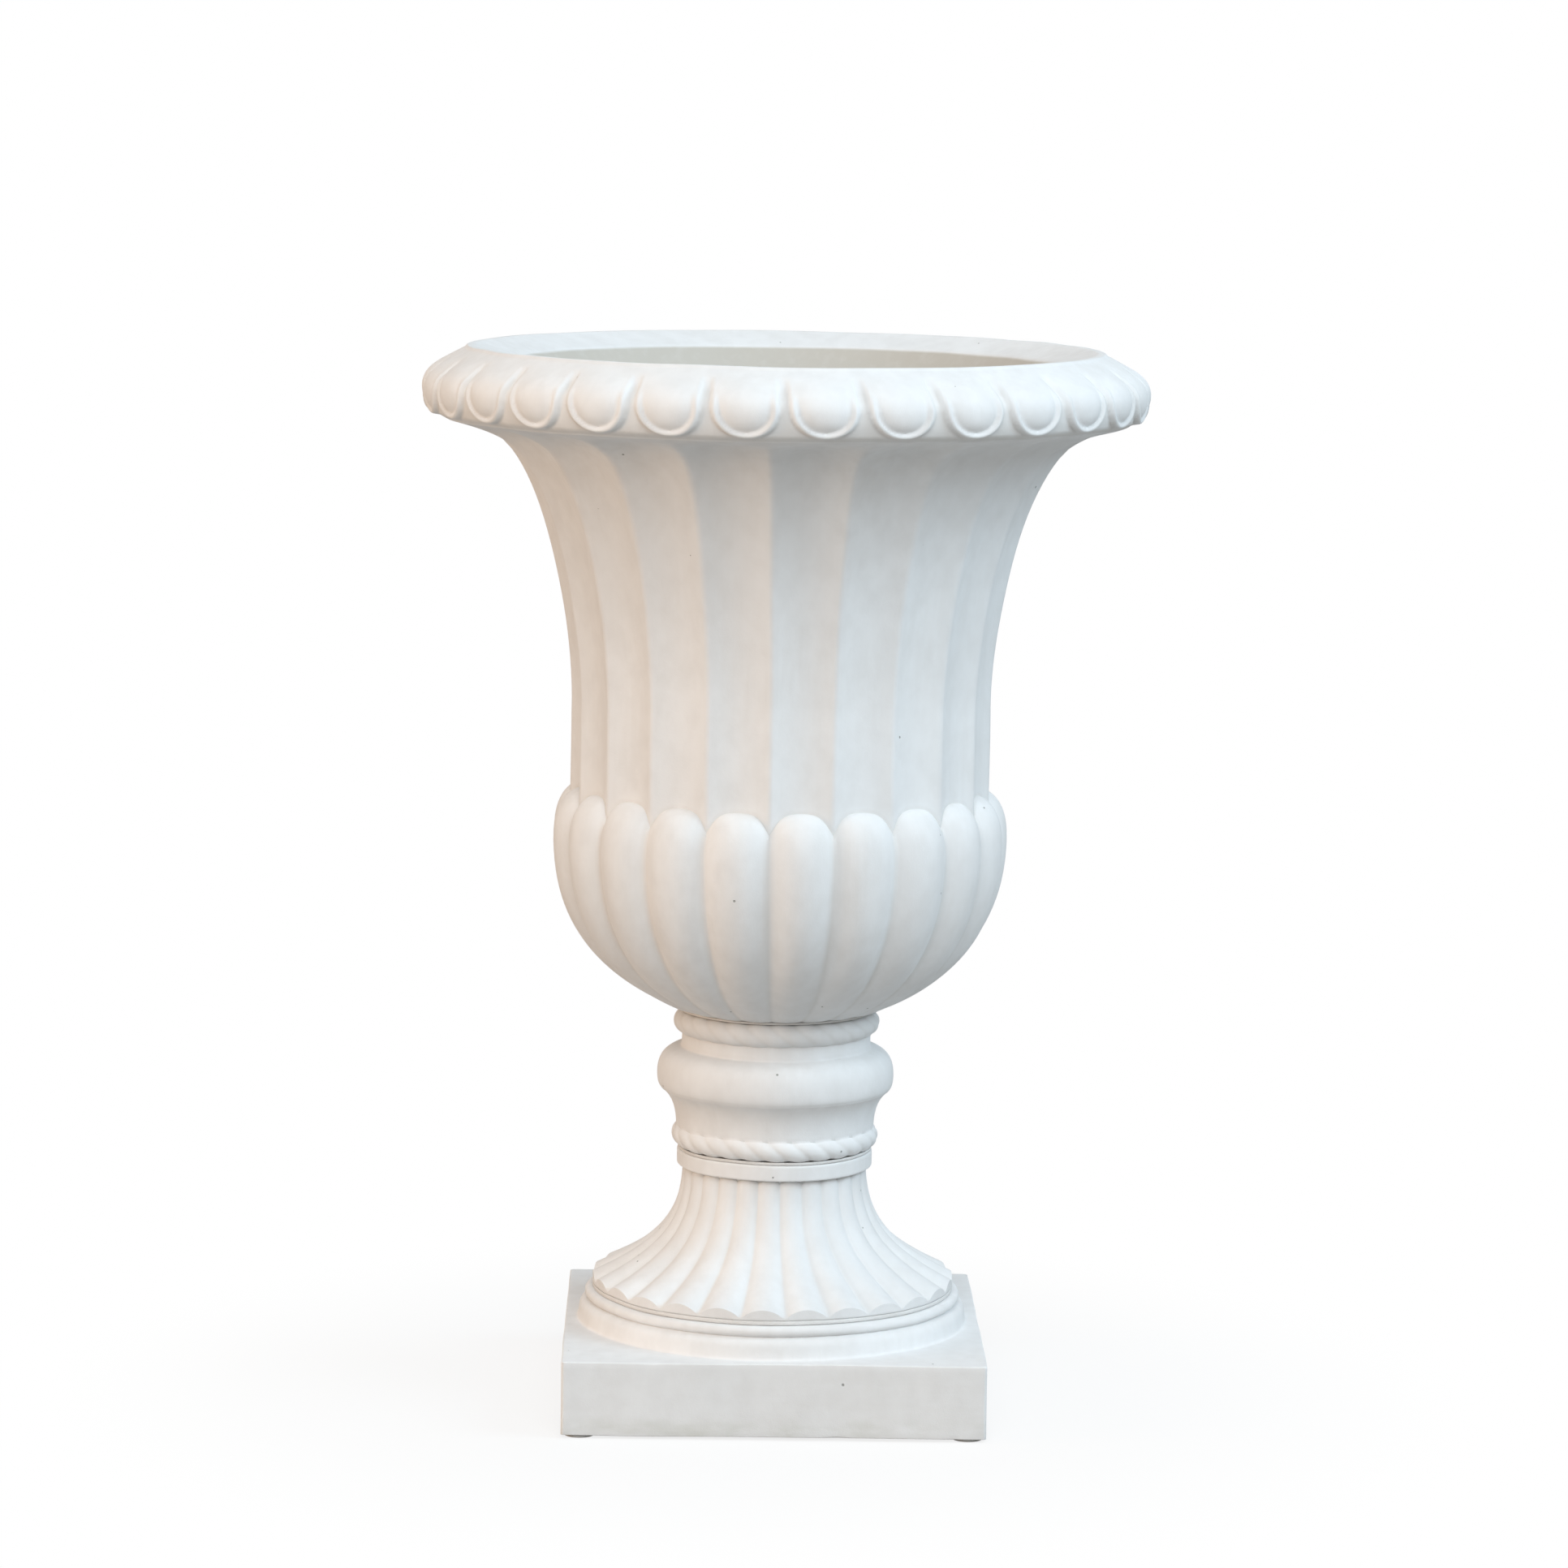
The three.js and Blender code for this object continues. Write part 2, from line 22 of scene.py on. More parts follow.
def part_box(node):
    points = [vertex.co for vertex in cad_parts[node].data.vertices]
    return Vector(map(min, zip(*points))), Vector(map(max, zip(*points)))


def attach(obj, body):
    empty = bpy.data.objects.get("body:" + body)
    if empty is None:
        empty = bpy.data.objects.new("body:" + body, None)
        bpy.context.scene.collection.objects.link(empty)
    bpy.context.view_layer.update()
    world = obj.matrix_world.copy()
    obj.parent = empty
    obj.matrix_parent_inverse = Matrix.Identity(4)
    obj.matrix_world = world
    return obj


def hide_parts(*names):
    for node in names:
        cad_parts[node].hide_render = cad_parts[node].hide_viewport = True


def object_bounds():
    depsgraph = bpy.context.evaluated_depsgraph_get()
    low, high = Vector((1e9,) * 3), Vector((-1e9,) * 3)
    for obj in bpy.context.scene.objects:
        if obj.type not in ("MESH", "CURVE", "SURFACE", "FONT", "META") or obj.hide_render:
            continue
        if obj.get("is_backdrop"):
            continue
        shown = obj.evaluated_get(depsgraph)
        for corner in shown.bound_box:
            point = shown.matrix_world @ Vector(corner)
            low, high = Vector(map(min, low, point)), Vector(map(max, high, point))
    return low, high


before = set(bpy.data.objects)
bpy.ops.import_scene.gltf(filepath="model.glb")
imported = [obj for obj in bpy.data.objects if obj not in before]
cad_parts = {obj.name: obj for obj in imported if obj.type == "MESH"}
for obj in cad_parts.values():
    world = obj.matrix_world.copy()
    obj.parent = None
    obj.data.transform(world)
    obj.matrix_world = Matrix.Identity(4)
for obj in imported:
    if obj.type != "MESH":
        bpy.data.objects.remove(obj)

MM = 0.001
TURN = 2 * math.pi
cad_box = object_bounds()
print("CAD box, metres:", [[round(v, 4) for v in corner] for corner in cad_box])


def add_object(name, data):
    """A new object at the origin with that data, in the scene."""
    made = bpy.data.objects.new(name, data)
    bpy.context.scene.collection.objects.link(made)
    return made


# %% [markdown]
# ## Camera
#
# The photograph is taken from four metres away with a long lens, a little above the rim, so the
# sides of the urn hardly converge. The distance, height and turns below were worked out from the
# corners of the square plinth and the ellipse of the rim, which leave one place for the camera.

# %% Camera
CAMERA_DISTANCE = 4.048
CAMERA_HEIGHT = 0.991
CAMERA_AZIMUTH = math.radians(-1.005)
CAMERA_YAW = math.radians(-0.039)
CAMERA_PITCH = math.radians(7.662)
CAMERA_ROLL = math.radians(0.912)
CAMERA_LENS = 130.33


def camera_matrix():
    """The camera's place and its three axes: right, up and backwards, turned by yaw, pitch and roll."""
    eye = Vector((math.sin(CAMERA_AZIMUTH), -math.cos(CAMERA_AZIMUTH), 0)) * CAMERA_DISTANCE
    eye.z = CAMERA_HEIGHT
    heading = CAMERA_AZIMUTH + CAMERA_YAW
    level = Vector((-math.sin(heading), math.cos(heading), 0))
    forward = level * math.cos(CAMERA_PITCH) - Vector((0, 0, math.sin(CAMERA_PITCH)))
    right = forward.cross(Vector((0, 0, 1))).normalized()
    up = right.cross(forward)
    rolled_right = right * math.cos(CAMERA_ROLL) + up * math.sin(CAMERA_ROLL)
    rolled_up = up * math.cos(CAMERA_ROLL) - right * math.sin(CAMERA_ROLL)
    turned = Matrix((rolled_right, rolled_up, -forward)).transposed().to_4x4()
    return Matrix.Translation(eye) @ turned


camera_data = bpy.data.cameras.new("camera")
camera_data.lens = CAMERA_LENS
camera = add_object("camera", camera_data)
camera.matrix_world = camera_matrix()
bpy.context.scene.camera = camera
print("camera at", [round(v, 3) for v in camera.location])

# %% [markdown]
# ## Outlines
#
# A moulding is drawn as its section: pairs of radius and height. A few kinds of line are enough for
# all of them. A bow is a cubic curve for the long sweeps, and a bead is half an ellipse for the round
# rings. rounded() gives each corner of a plain outline a fillet of its own, and softened() wears all
# corners of a line alike. spaced() puts points on any of them at chosen distances along it.

# %% Outlines
SUPPORT_REACH = 1.6
SOFTENING_STEPS = 8


def smooth(low, high, x):
    """0 below low and 1 above high, with the S-curve 3t² - 2t³ between them."""
    t = np.clip((x - low) / (high - low), 0, 1)
    return t * t * (3 - 2 * t)


def bow(start, end, leave, arrive, count):
    """A cubic curve: (1-t)³·start + 3(1-t)²t·first + 3(1-t)t²·second + t³·end. The two inner control
    points are given as shares of the box between the ends."""
    start, end = np.array(start), np.array(end)
    first = start + (end - start) * leave
    second = start + (end - start) * arrive
    t = np.linspace(0, 1, count)[:, None]
    near, far = 1 - t, t
    return near**3 * start + 3 * near**2 * far * first + 3 * near * far**2 * second + far**3 * end


def bead(radius, bottom, top, depth, count):
    """Half an ellipse between two heights: r = radius - depth + depth·cos t, z = middle + half·sin t."""
    t = np.linspace(-math.pi / 2, math.pi / 2, count)
    half = (top - bottom) / 2
    return np.stack([radius - depth + depth * np.cos(t), bottom + half + half * np.sin(t)], axis=1)


def rounded(corners, steps=4):
    """An outline through corners (radius, height, fillet). A corner becomes the parabola
    (1-t)²·before + 2(1-t)t·corner + t²·after between the points one fillet away from it. A support
    point beyond each end of it keeps the flats beside it flat when they are shaded."""
    corners = np.array(corners)
    spot, reach = corners[:, :2], corners[1:-1, 2:]
    middle = spot[1:-1]
    back = spot[:-2] - middle
    ahead = spot[2:] - middle
    back /= np.linalg.norm(back, axis=1, keepdims=True)
    ahead /= np.linalg.norm(ahead, axis=1, keepdims=True)
    before, after = middle + back * reach, middle + ahead * reach
    t = np.linspace(0, 1, steps + 1)[None, :, None]
    curve = (1 - t)**2 * before[:, None] + 2 * (1 - t) * t * middle[:, None] + t**2 * after[:, None]
    support = [middle[:, None] + side[:, None] * SUPPORT_REACH * reach[:, None] for side in (back, ahead)]
    corner_rows = np.concatenate([support[0], curve, support[1]], axis=1).reshape(-1, 2)
    return np.concatenate([spot[:1], corner_rows, spot[-1:]])


def lengths_along(outline):
    """The distance of each point from the outline's first, along it."""
    return np.append(0, np.cumsum(np.linalg.norm(np.diff(outline, axis=0), axis=1)))


def spaced(outline, distances):
    """Points on the outline at those distances along it."""
    along = lengths_along(outline)
    return np.stack([np.interp(distances, along, outline[:, i]) for i in (0, 1)], axis=1)


def slope_of(outline):
    """The direction of the outline at each of its points, as a unit vector (radius, height)."""
    step = np.gradient(outline, lengths_along(outline), axis=0)
    return step / np.linalg.norm(step, axis=1, keepdims=True)


def softened(outline, reach):
    """The outline with its corners worn: each point becomes the mean of the line within reach of it."""
    step = reach / SOFTENING_STEPS
    line = spaced(outline, np.arange(0, lengths_along(outline)[-1] + step, step))
    padded = np.pad(line, ((SOFTENING_STEPS, SOFTENING_STEPS), (0, 0)), mode="edge")
    window = np.full(2 * SOFTENING_STEPS + 1, 1 / (2 * SOFTENING_STEPS + 1))
    mean = np.stack([np.convolve(padded[:, i], window, "valid") for i in (0, 1)], axis=1)
    return np.concatenate([line[:1], mean[SOFTENING_STEPS:-SOFTENING_STEPS], line[-1:]])


print("test bead, millimetres:", bead(140, 55, 70, 8, 3).round(1).tolist())

# %% [markdown]
# ## Loops and skins
#
# place() turns radius, height and angle into points. The angle starts at the front and runs towards
# +X. A fourth number travels with each point: how deep it lies in the carving, from 0 to 1. There the
# stone's colour is darkened, as painted shade together with the dust that rain leaves. skin() joins
# the loops of a casting into one closed mesh. Two bands of loops may have different numbers of points,
# so between them a zipper of triangles walks round both loops and always steps to whichever next point
# comes first.
#
# An outline runs up the outside and down the inside, which makes all faces point outwards.

# %% Loops and skins
def loop_angles(count, phase=0.0):
    """count even angles from the front, shifted so that one of them is the phase."""
    return phase % (TURN / count) + TURN * np.arange(count) / count


def place(radius, height, angle, recess=0.0):
    """x = radius·sin(angle), y = -radius·cos(angle), z = height, and the recess as a fourth number."""
    radius, height, angle, recess = np.broadcast_arrays(radius, height, angle, recess)
    return np.stack([radius * np.sin(angle), -radius * np.cos(angle), height, recess], axis=-1)


def turned(outline, count, recess=0.0):
    """A band of plain round loops, one for each point of the outline."""
    recess = np.reshape(recess, (-1, 1))
    return place(outline[:, :1], outline[:, 1:], loop_angles(count), recess)


def across(angle, count, phase):
    """Place across one repeat of a pattern: -1 at one edge, 0 in the middle, 1 at the other edge.
    The phase is the angle of an edge."""
    share = (angle - phase) * count / TURN
    return 2 * (share - np.floor(share)) - 1


def zipper(first, second, first_index, second_index):
    """Triangles between two loops. The next angles of both loops are sorted together, and each one in
    turn becomes a triangle from the last two points reached to the point at that angle."""
    def next_angles(loop):
        angle = np.unwrap(np.arctan2(loop[:, 0], -loop[:, 1]))
        return np.append(angle[1:], angle[0] + TURN)

    steps = np.concatenate([next_angles(first), next_angles(second)])
    on_first = np.argsort(steps, kind="stable") < len(first)
    i = np.cumsum(on_first) - on_first
    j = np.cumsum(~on_first) - ~on_first
    here, there = first_index[i % len(first)], second_index[j % len(second)]
    ahead = np.where(on_first, first_index[(i + 1) % len(first)], second_index[(j + 1) % len(second)])
    return np.stack([here, ahead, there], axis=1)


def skin(name, bands, ends_meet=True):
    """One mesh of bands of loops. Inside a band, each loop meets the next in four-sided faces, and a
    zipper joins a band to the next. Where the ends don't meet, the first and last loop are filled."""
    faces, indices, start = [], [], 0
    for band in bands:
        index = start + np.arange(band.shape[0] * band.shape[1]).reshape(band.shape[:2])
        beside = np.roll(index, -1, axis=1)
        quads = np.stack([index[:-1], beside[:-1], beside[1:], index[1:]], axis=-1)
        faces += quads.reshape(-1, 4).tolist()
        indices.append(index)
        start += index.size
    last = len(bands) if ends_meet else len(bands) - 1
    for k in range(last):
        after = (k + 1) % len(bands)
        faces += zipper(bands[k][-1], bands[after][0], indices[k][-1], indices[after][0]).tolist()
    if not ends_meet:
        faces += [indices[0][0][::-1].tolist(), indices[-1][-1].tolist()]
    return mesh_object(name, np.concatenate([band.reshape(-1, 4) for band in bands]), faces)


def mesh_object(name, points, faces):
    """A mesh object at the origin, smooth, with the points' fourth number as its recess attribute."""
    mesh = bpy.data.meshes.new(name)
    mesh.from_pydata(points[:, :3].tolist(), [], faces)
    recess = mesh.attributes.new("recess", "FLOAT", "POINT")
    recess.data.foreach_set("value", points[:, 3].astype(np.float32))
    mesh.shade_smooth()
    return add_object(name, mesh)


print("loop and skin helpers are ready")

# %% [markdown]
# ## The hand of the maker
#
# A casting is taken from a mould that was pressed and patched by hand. Its faces are never quite
# flat and its rings are never quite round. A sum of a few slow sine waves, each in its own direction,
# moves all points by a fraction of a millimetre. It is the same field for every piece, so stacked
# pieces still follow each other.

# %% Unevenness
UNEVENNESS = 0.22 * MM
WAVE_COUNT = 8
WAVE_LENGTH = 0.11
chance = np.random.default_rng(11)
wave_steps = chance.normal(size=(3, WAVE_COUNT, 3)) * (TURN / WAVE_LENGTH)
wave_starts = chance.uniform(0, TURN, size=(3, WAVE_COUNT))


def uneven(points):
    """Each coordinate gains the sum of eight sines of the point's place, scaled to the unevenness."""
    moved = points.copy()
    for axis in range(3):
        waves = np.sin(points[..., :3] @ wave_steps[axis].T + wave_starts[axis])
        moved[..., axis] += UNEVENNESS * waves.sum(-1) / math.sqrt(WAVE_COUNT)
    return moved


print("a shift at the origin, mm:", (uneven(np.zeros((1, 4)))[0, :3] / MM).round(3))

# %% [markdown]
# ## Outline of the rim
#
# Seen from the front the rim stands almost upright. Below, it turns in round a crisp edge to a
# hollow soffit, which runs down into the flare of the bell. Above, a long crown leans back to the
# collar. Three bows make the line, and the edge between the first two is only a little softened.

# %% Outline of the rim
bowl_low, bowl_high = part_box("bowl")
BOWL_BOTTOM, RIM_TOP = bowl_low.z, bowl_high.z
BELL_RADIUS = 151 * MM
BELL_TOP_RADIUS = 200 * MM
RIM_RADIUS = 259.8 * MM
COLLAR_RADIUS = 229 * MM
COLLAR_BOTTOM = RIM_TOP - 2.5 * MM
RIM_WIDEST = COLLAR_BOTTOM - 30.5 * MM
RIM_BOTTOM = RIM_WIDEST - 37 * MM
FLARE_START = RIM_BOTTOM - 190 * MM
EDGE_RADIUS = RIM_RADIUS - 4 * MM
EDGE_HEIGHT = RIM_WIDEST - 15 * MM
EDGE_SOFTNESS = 1.8 * MM

soffit = bow((BELL_TOP_RADIUS, RIM_BOTTOM), (EDGE_RADIUS, EDGE_HEIGHT), (0.21, 0.48), (0.68, 0.86), 40)
nose = bow((EDGE_RADIUS, EDGE_HEIGHT), (RIM_RADIUS, RIM_WIDEST), (0.58, 0.17), (1, 0.6), 30)
crown = bow((RIM_RADIUS, RIM_WIDEST), (COLLAR_RADIUS, COLLAR_BOTTOM), (-0.03, 0.54), (0.35, 0.66), 60)
rim_line = softened(np.concatenate([soffit, nose[1:], crown[1:]]), EDGE_SOFTNESS)
rim_along = lengths_along(rim_line)
edge_along = lengths_along(soffit)[-1]
print("rim line, mm:", (rim_along[-1] / MM).round(1), "with its edge at", (edge_along / MM).round(1))

# %% [markdown]
# ## Egg moulding of the rim
#
# The face of the rim carries thirty eggs. Each egg lies in a raised U-shaped shell, and the ground
# between two shells is sunk. The pattern could be drawn as thirty small sculptures, but one formula
# does it: the distance d from the egg's axis above its centre, and from its centre below it, is the
# same all the way round the U. The depth under the rim's surface then depends on d alone. It dies out
# towards the crown, as in the photograph.
#
# Each point is carved along the rim's own normal, except near the lower edge. There the carving goes
# straight in, so that the ground between two shells ends below in a clean edge of its own.

# %% Egg moulding
EGG_COUNT = 30
EGG_POINTS = 32
EGG_PHASE = math.radians(4.8)
EGG_RISE = 7 * MM
EGG_LEAN = 0.08
DOME_RADIUS = 17.8 * MM
DOME_DEPTH = 3.2 * MM
SHELL_RADIUS = 21.0 * MM
SHELL_DEPTH = 1.0 * MM
SHELL_HALF_WIDTH = 2.8 * MM
SHELL_FALL = 2.6 * MM
GROUND_DEPTH = 5 * MM
EGG_BLEND = 0.7 * MM
GROUND_BLEND = 0.8 * MM
GROOVE_FADE = (-4 * MM, 16 * MM)
CARVING_FADE = (12 * MM, 36 * MM)
EDGE_FADE = (-12 * MM, -2 * MM)
EDGE_TURN = (-4 * MM, 5 * MM)
# Depths between which the egg carving is painted darker: painted shade and dust in the hollows.
SHADED_AND_DUSTY_DEPTHS = (2.4 * MM, 4.6 * MM)


def soft_min(a, b, blend):
    """The lesser of two depths, with the corner where they cross rounded over a blend's width."""
    h = np.clip(0.5 + 0.5 * (b - a) / blend, 0, 1)
    return b * (1 - h) + a * h - blend * h * (1 - h)


def egg_depth(x, y):
    """Depth of the carving at x sideways and y up the rim from an egg's centre. The dome is a bowl
    depth·(d/radius)³, the shell a ridge whose depth grows with the square of the distance from its
    line, and the ground is flat. The least of the three shows. Above, the groove inside the shell
    fades first, and the whole carving fades before the collar."""
    x = x + EGG_LEAN * y
    d = np.where(y > 0, np.abs(x), np.hypot(x, y))
    dome = DOME_DEPTH * (d / DOME_RADIUS)**3
    shell = SHELL_DEPTH + SHELL_FALL * ((d - SHELL_RADIUS) / SHELL_HALF_WIDTH)**2
    merged = SHELL_FALL * (d / (SHELL_RADIUS + SHELL_HALF_WIDTH))**2
    groove = 1 - smooth(*GROOVE_FADE, y)
    egg = soft_min(dome, shell, EGG_BLEND)
    outside = smooth(SHELL_RADIUS - MM, SHELL_RADIUS + SHELL_HALF_WIDTH, d)
    plain = merged + (shell - merged) * outside
    egg = egg * groove + plain * (1 - groove)
    return soft_min(egg, GROUND_DEPTH, GROUND_BLEND) * (1 - smooth(*CARVING_FADE, y))


def rim_band(distances, count):
    """Loops up the rim at those distances along its line. The carving dies out behind the edge, and
    it turns from straight in at the edge to along the rim's normal above it."""
    spot = spaced(rim_line, distances)
    slope = slope_of(spot)
    centre = np.interp(RIM_WIDEST + EGG_RISE, rim_line[:, 1], rim_along)
    angle = loop_angles(count, EGG_PHASE)
    egg = across(angle, EGG_COUNT, EGG_PHASE + TURN / EGG_COUNT / 2)
    sideways = egg * math.pi * RIM_RADIUS / EGG_COUNT
    depth = egg_depth(sideways[None, :], (distances - centre)[:, None])
    depth *= smooth(*EDGE_FADE, distances - edge_along)[:, None]
    upright = smooth(*EDGE_TURN, distances - edge_along)[:, None]
    radius = spot[:, :1] - depth * (1 - upright + upright * slope[:, 1:])
    height = spot[:, 1:] + depth * upright * slope[:, :1]
    # the recess paints shade and dust into the sunk ground between the shells
    return place(radius, height, angle, smooth(*SHADED_AND_DUSTY_DEPTHS, depth))


egg_rows = np.concatenate([
    edge_along + np.linspace(-12, -3, 7) * MM,
    edge_along + np.linspace(-1.8, 4.2, 7) * MM,
    edge_along + np.linspace(5.6, 51, 31) * MM,
])
crown_rows = np.linspace(egg_rows[-1] + 2 * MM, rim_along[-1] - 0.8 * MM, 5)
rim = [rim_band(egg_rows, EGG_COUNT * EGG_POINTS), rim_band(crown_rows, EGG_COUNT * EGG_POINTS // 2)]
print("rim loops and points on each:", [band.shape[:2] for band in rim])

# %% [markdown]
# ## Flutes of the bell and gadroons of the cup
#
# Twenty-one concave flutes run up the bell, and their crisp ridges stand over the valleys between
# twenty-one convex gadroons on the cup. A gadroon is a long pillow: a circular arc across, with a
# round head that leans back against the bell. The crease where a head meets the bell is the most
# visible line of the urn, so the loops follow it: the last loop of the cup and the first loop of the
# bell lie exactly on it, however it swings between the heads and the valleys.

# %% Bell and cup
FLUTE_COUNT = 21
FLUTE_POINTS = 20
FLUTE_PHASE = math.radians(-3.7)
FLUTE_DEPTH = 6 * MM
CUP_FOOT_RADIUS = 74 * MM
CUP_RADIUS = 164 * MM
CUP_WIDEST = BOWL_BOTTOM + 122.5 * MM
GADROON_HEAD = 38.5 * MM
GADROON_HEAD_DROP = 6 * MM
GADROON_DEPTH = 10 * MM
GADROON_DEPTH_LOW = 3.5 * MM
HEAD_ROUNDNESS = 2.6
FOOT_TUCK = 2.2 * MM
FOOT_TUCK_HEIGHT = 2.5 * MM
ARCH_SLOPE = 0.74
VALLEY_WEAR = 0.09
RIDGE_WEAR = 0.035
FLUTES_FADE = (EDGE_RADIUS - 44 * MM, EDGE_RADIUS - 14 * MM)
EVEN_HEIGHT = CUP_WIDEST + 62 * MM
flute_angles = loop_angles(FLUTE_COUNT * FLUTE_POINTS, FLUTE_PHASE)
flute_across = across(flute_angles, FLUTE_COUNT, FLUTE_PHASE)
# Painted shade with dust: the valleys between gadroons and the crease under their heads are darkened.
in_valley = smooth(0.8, 1, np.abs(flute_across))


def worn(u, wear):
    """The place across a repeat, with its edges worn: it stops short of 1 along a hyperbola."""
    return 1 - np.hypot(1 - np.abs(u), wear) + (math.hypot(1, wear) - 1) * (1 - np.abs(u))


def arch(u, edge_slope=ARCH_SLOPE, wear=VALLEY_WEAR):
    """How far a circular arc has fallen at u: 0 in the middle, 1 at the edges u = -1 and 1. The edge
    slope is the sine of the arc's slope there, before wear rounds the valley between two arcs."""
    return (1 - np.sqrt(1 - (edge_slope * worn(u, wear))**2)) / (1 - math.sqrt(1 - edge_slope**2))


def flute_cut(radius):
    """Depth of the flutes where the bell has that radius: a parabola across, fading out on the soffit."""
    return FLUTE_DEPTH * (1 - worn(flute_across, RIDGE_WEAR)**2) * (1 - smooth(*FLUTES_FADE, radius))


def cup_band():
    """Gadroons from the foot of the cup to its widest line, then their heads as far as the crease."""
    line = bow((CUP_FOOT_RADIUS, BOWL_BOTTOM), (CUP_RADIUS, CUP_WIDEST), (0.49, 0.16), (0.98, 0.41), 29)
    share = (line[:, 1:] - BOWL_BOTTOM) / (CUP_WIDEST - BOWL_BOTTOM)
    depth = GADROON_DEPTH_LOW + (GADROON_DEPTH - GADROON_DEPTH_LOW) * smooth(0, 0.5, share)
    body_radius = line[:, :1] - depth * arch(flute_across)
    tucked = FOOT_TUCK * (1 - np.clip((line[:, 1:] - BOWL_BOTTOM) / FOOT_TUCK_HEIGHT, 0, 1))**2
    body = place(body_radius - tucked, line[:, 1:], flute_angles, in_valley)

    overhang = CUP_RADIUS - BELL_RADIUS + GADROON_DEPTH
    fall = GADROON_DEPTH * arch(flute_across)
    wall = BELL_RADIUS - flute_cut(BELL_RADIUS)
    crease = np.arccos((wall + fall - BELL_RADIUS + GADROON_DEPTH) / overhang)
    t = np.linspace(0, 1, 17)[1:, None]**0.85 * crease
    reach = GADROON_HEAD - GADROON_HEAD_DROP * np.abs(flute_across)**4
    radius = BELL_RADIUS - GADROON_DEPTH + overhang * np.cos(t) - fall
    height = CUP_WIDEST + reach * np.sin(t)**(2 / HEAD_ROUNDNESS)
    head = place(radius, height, flute_angles, np.clip(in_valley + smooth(0.9, 1, t / crease), 0, 1))
    return np.concatenate([body, head])


def bell_band(crease):
    """Flutes from the crease, whose height swings, through an even loop, up the flare and out along
    the soffit."""
    rise = np.linspace(0, 1, 8)[:, None]
    height = crease[None, :, 2] * (1 - rise) + EVEN_HEIGHT * rise
    # painted shade with dust along the crease at the foot of the flutes
    low = place(BELL_RADIUS - flute_cut(BELL_RADIUS), height, flute_angles, 1 - smooth(0, 0.1, rise))
    straight = np.array([[BELL_RADIUS, EVEN_HEIGHT + 14 * MM]])
    flare = bow(
        (BELL_RADIUS, FLARE_START), (BELL_TOP_RADIUS, RIM_BOTTOM), (-0.027, 0.27), (0.32, 0.81), 25)
    under_rim = spaced(rim_line, np.linspace(3 * MM, edge_along - 13.5 * MM, 14))
    line = np.concatenate([straight, flare[:-1], under_rim])
    slope, cut = slope_of(line), flute_cut(line[:, :1])
    high = place(line[:, :1] - cut * slope[:, 1:], line[:, 1:] + cut * slope[:, :1], flute_angles)
    return np.concatenate([low[1:], high])


cup = cup_band()
bell = bell_band(cup[-1])
crease_heights = cup[-1][:, 2] / MM
print("crease between", crease_heights.min().round(1), "and", crease_heights.max().round(1), "mm")

# %% [markdown]
# ## Inside of the bowl
#
# The mouth has a flat crest and a bevel, then a plain wall that the maker trowelled smooth, a round
# bottom and a small flat floor. Water leaves through three drain holes round the bolt hole. Inside
# and underneath, plain loops with few points are enough. The drain holes are drilled last, by cutting
# three rods out of the closed skin. The wall is painted darker all over, as painted shade with soil
# dust, so its recess is more than 1.

# %% Bowl
MOUTH_RADIUS = 195 * MM
INNER_RADIUS = 126 * MM
FLOOR_RADIUS = 50 * MM
FLOOR_TOP = BOWL_BOTTOM + 31.5 * MM
BOLT_HOLE_RADIUS = 9 * MM
STEM_SOCKET_RADIUS = 54.5 * MM
SOCKET_DEPTH = 9.5 * MM
BOWL_SOCKET_TOP = BOWL_BOTTOM + SOCKET_DEPTH
DRAIN_RADIUS = 5 * MM
DRAIN_CIRCLE_RADIUS = 34 * MM
DRILL_OVERRUN = 5 * MM
# How dark the inside of the bowl is painted: painted shade together with soil dust.
INSIDE_SHADE_AND_DUST = 5.0
CREST_TOP = RIM_TOP - 0.4 * MM
BEVEL_BOTTOM = RIM_TOP - 10 * MM


def drill(piece, low, high):
    """Cuts three round drain holes through the piece, from under one height to over the other."""
    ends = np.array([[low - DRILL_OVERRUN], [high + DRILL_OVERRUN]])
    centres = place(DRAIN_CIRCLE_RADIUS, 0, TURN * np.arange(3) / 3)
    for k, centre in enumerate(centres):
        rods = place(DRAIN_RADIUS, ends, loop_angles(24)) + [*centre[:2], 0, 0]
        cutter = skin(f"drill_{k}", [rods], ends_meet=False)
        cut = piece.modifiers.new("drain_hole", "BOOLEAN")
        cut.operation = "DIFFERENCE"
        cut.object = cutter
        bpy.context.view_layer.update()
        whole = piece.evaluated_get(bpy.context.evaluated_depsgraph_get())
        drilled = bpy.data.meshes.new_from_object(whole)
        piece.modifiers.clear()
        piece.data = drilled
        bpy.data.objects.remove(cutter)


def dress(piece, node):
    """The piece stands for its CAD node and rides on the one body that an urn has."""
    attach(piece, "root")
    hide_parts(node)
    return piece


def sharpen(piece, degrees):
    """Keeps edges crisp where two faces meet at more than that angle, and smooth elsewhere."""
    piece.data.set_sharp_from_angle(angle=math.radians(degrees))
    return piece


def casting(node, bands, drilled=None):
    """One closed skin of the bands in a node's place, uneven by hand, drilled between two heights."""
    piece = skin(f"{node}_casting", [uneven(band) for band in bands])
    if drilled:
        drill(piece, *drilled)
    sharpen(piece, 62)
    triangles = len(piece.data.loops) - 2 * len(piece.data.polygons)
    print(piece.name, "has", triangles, "triangles")
    return dress(piece, node)


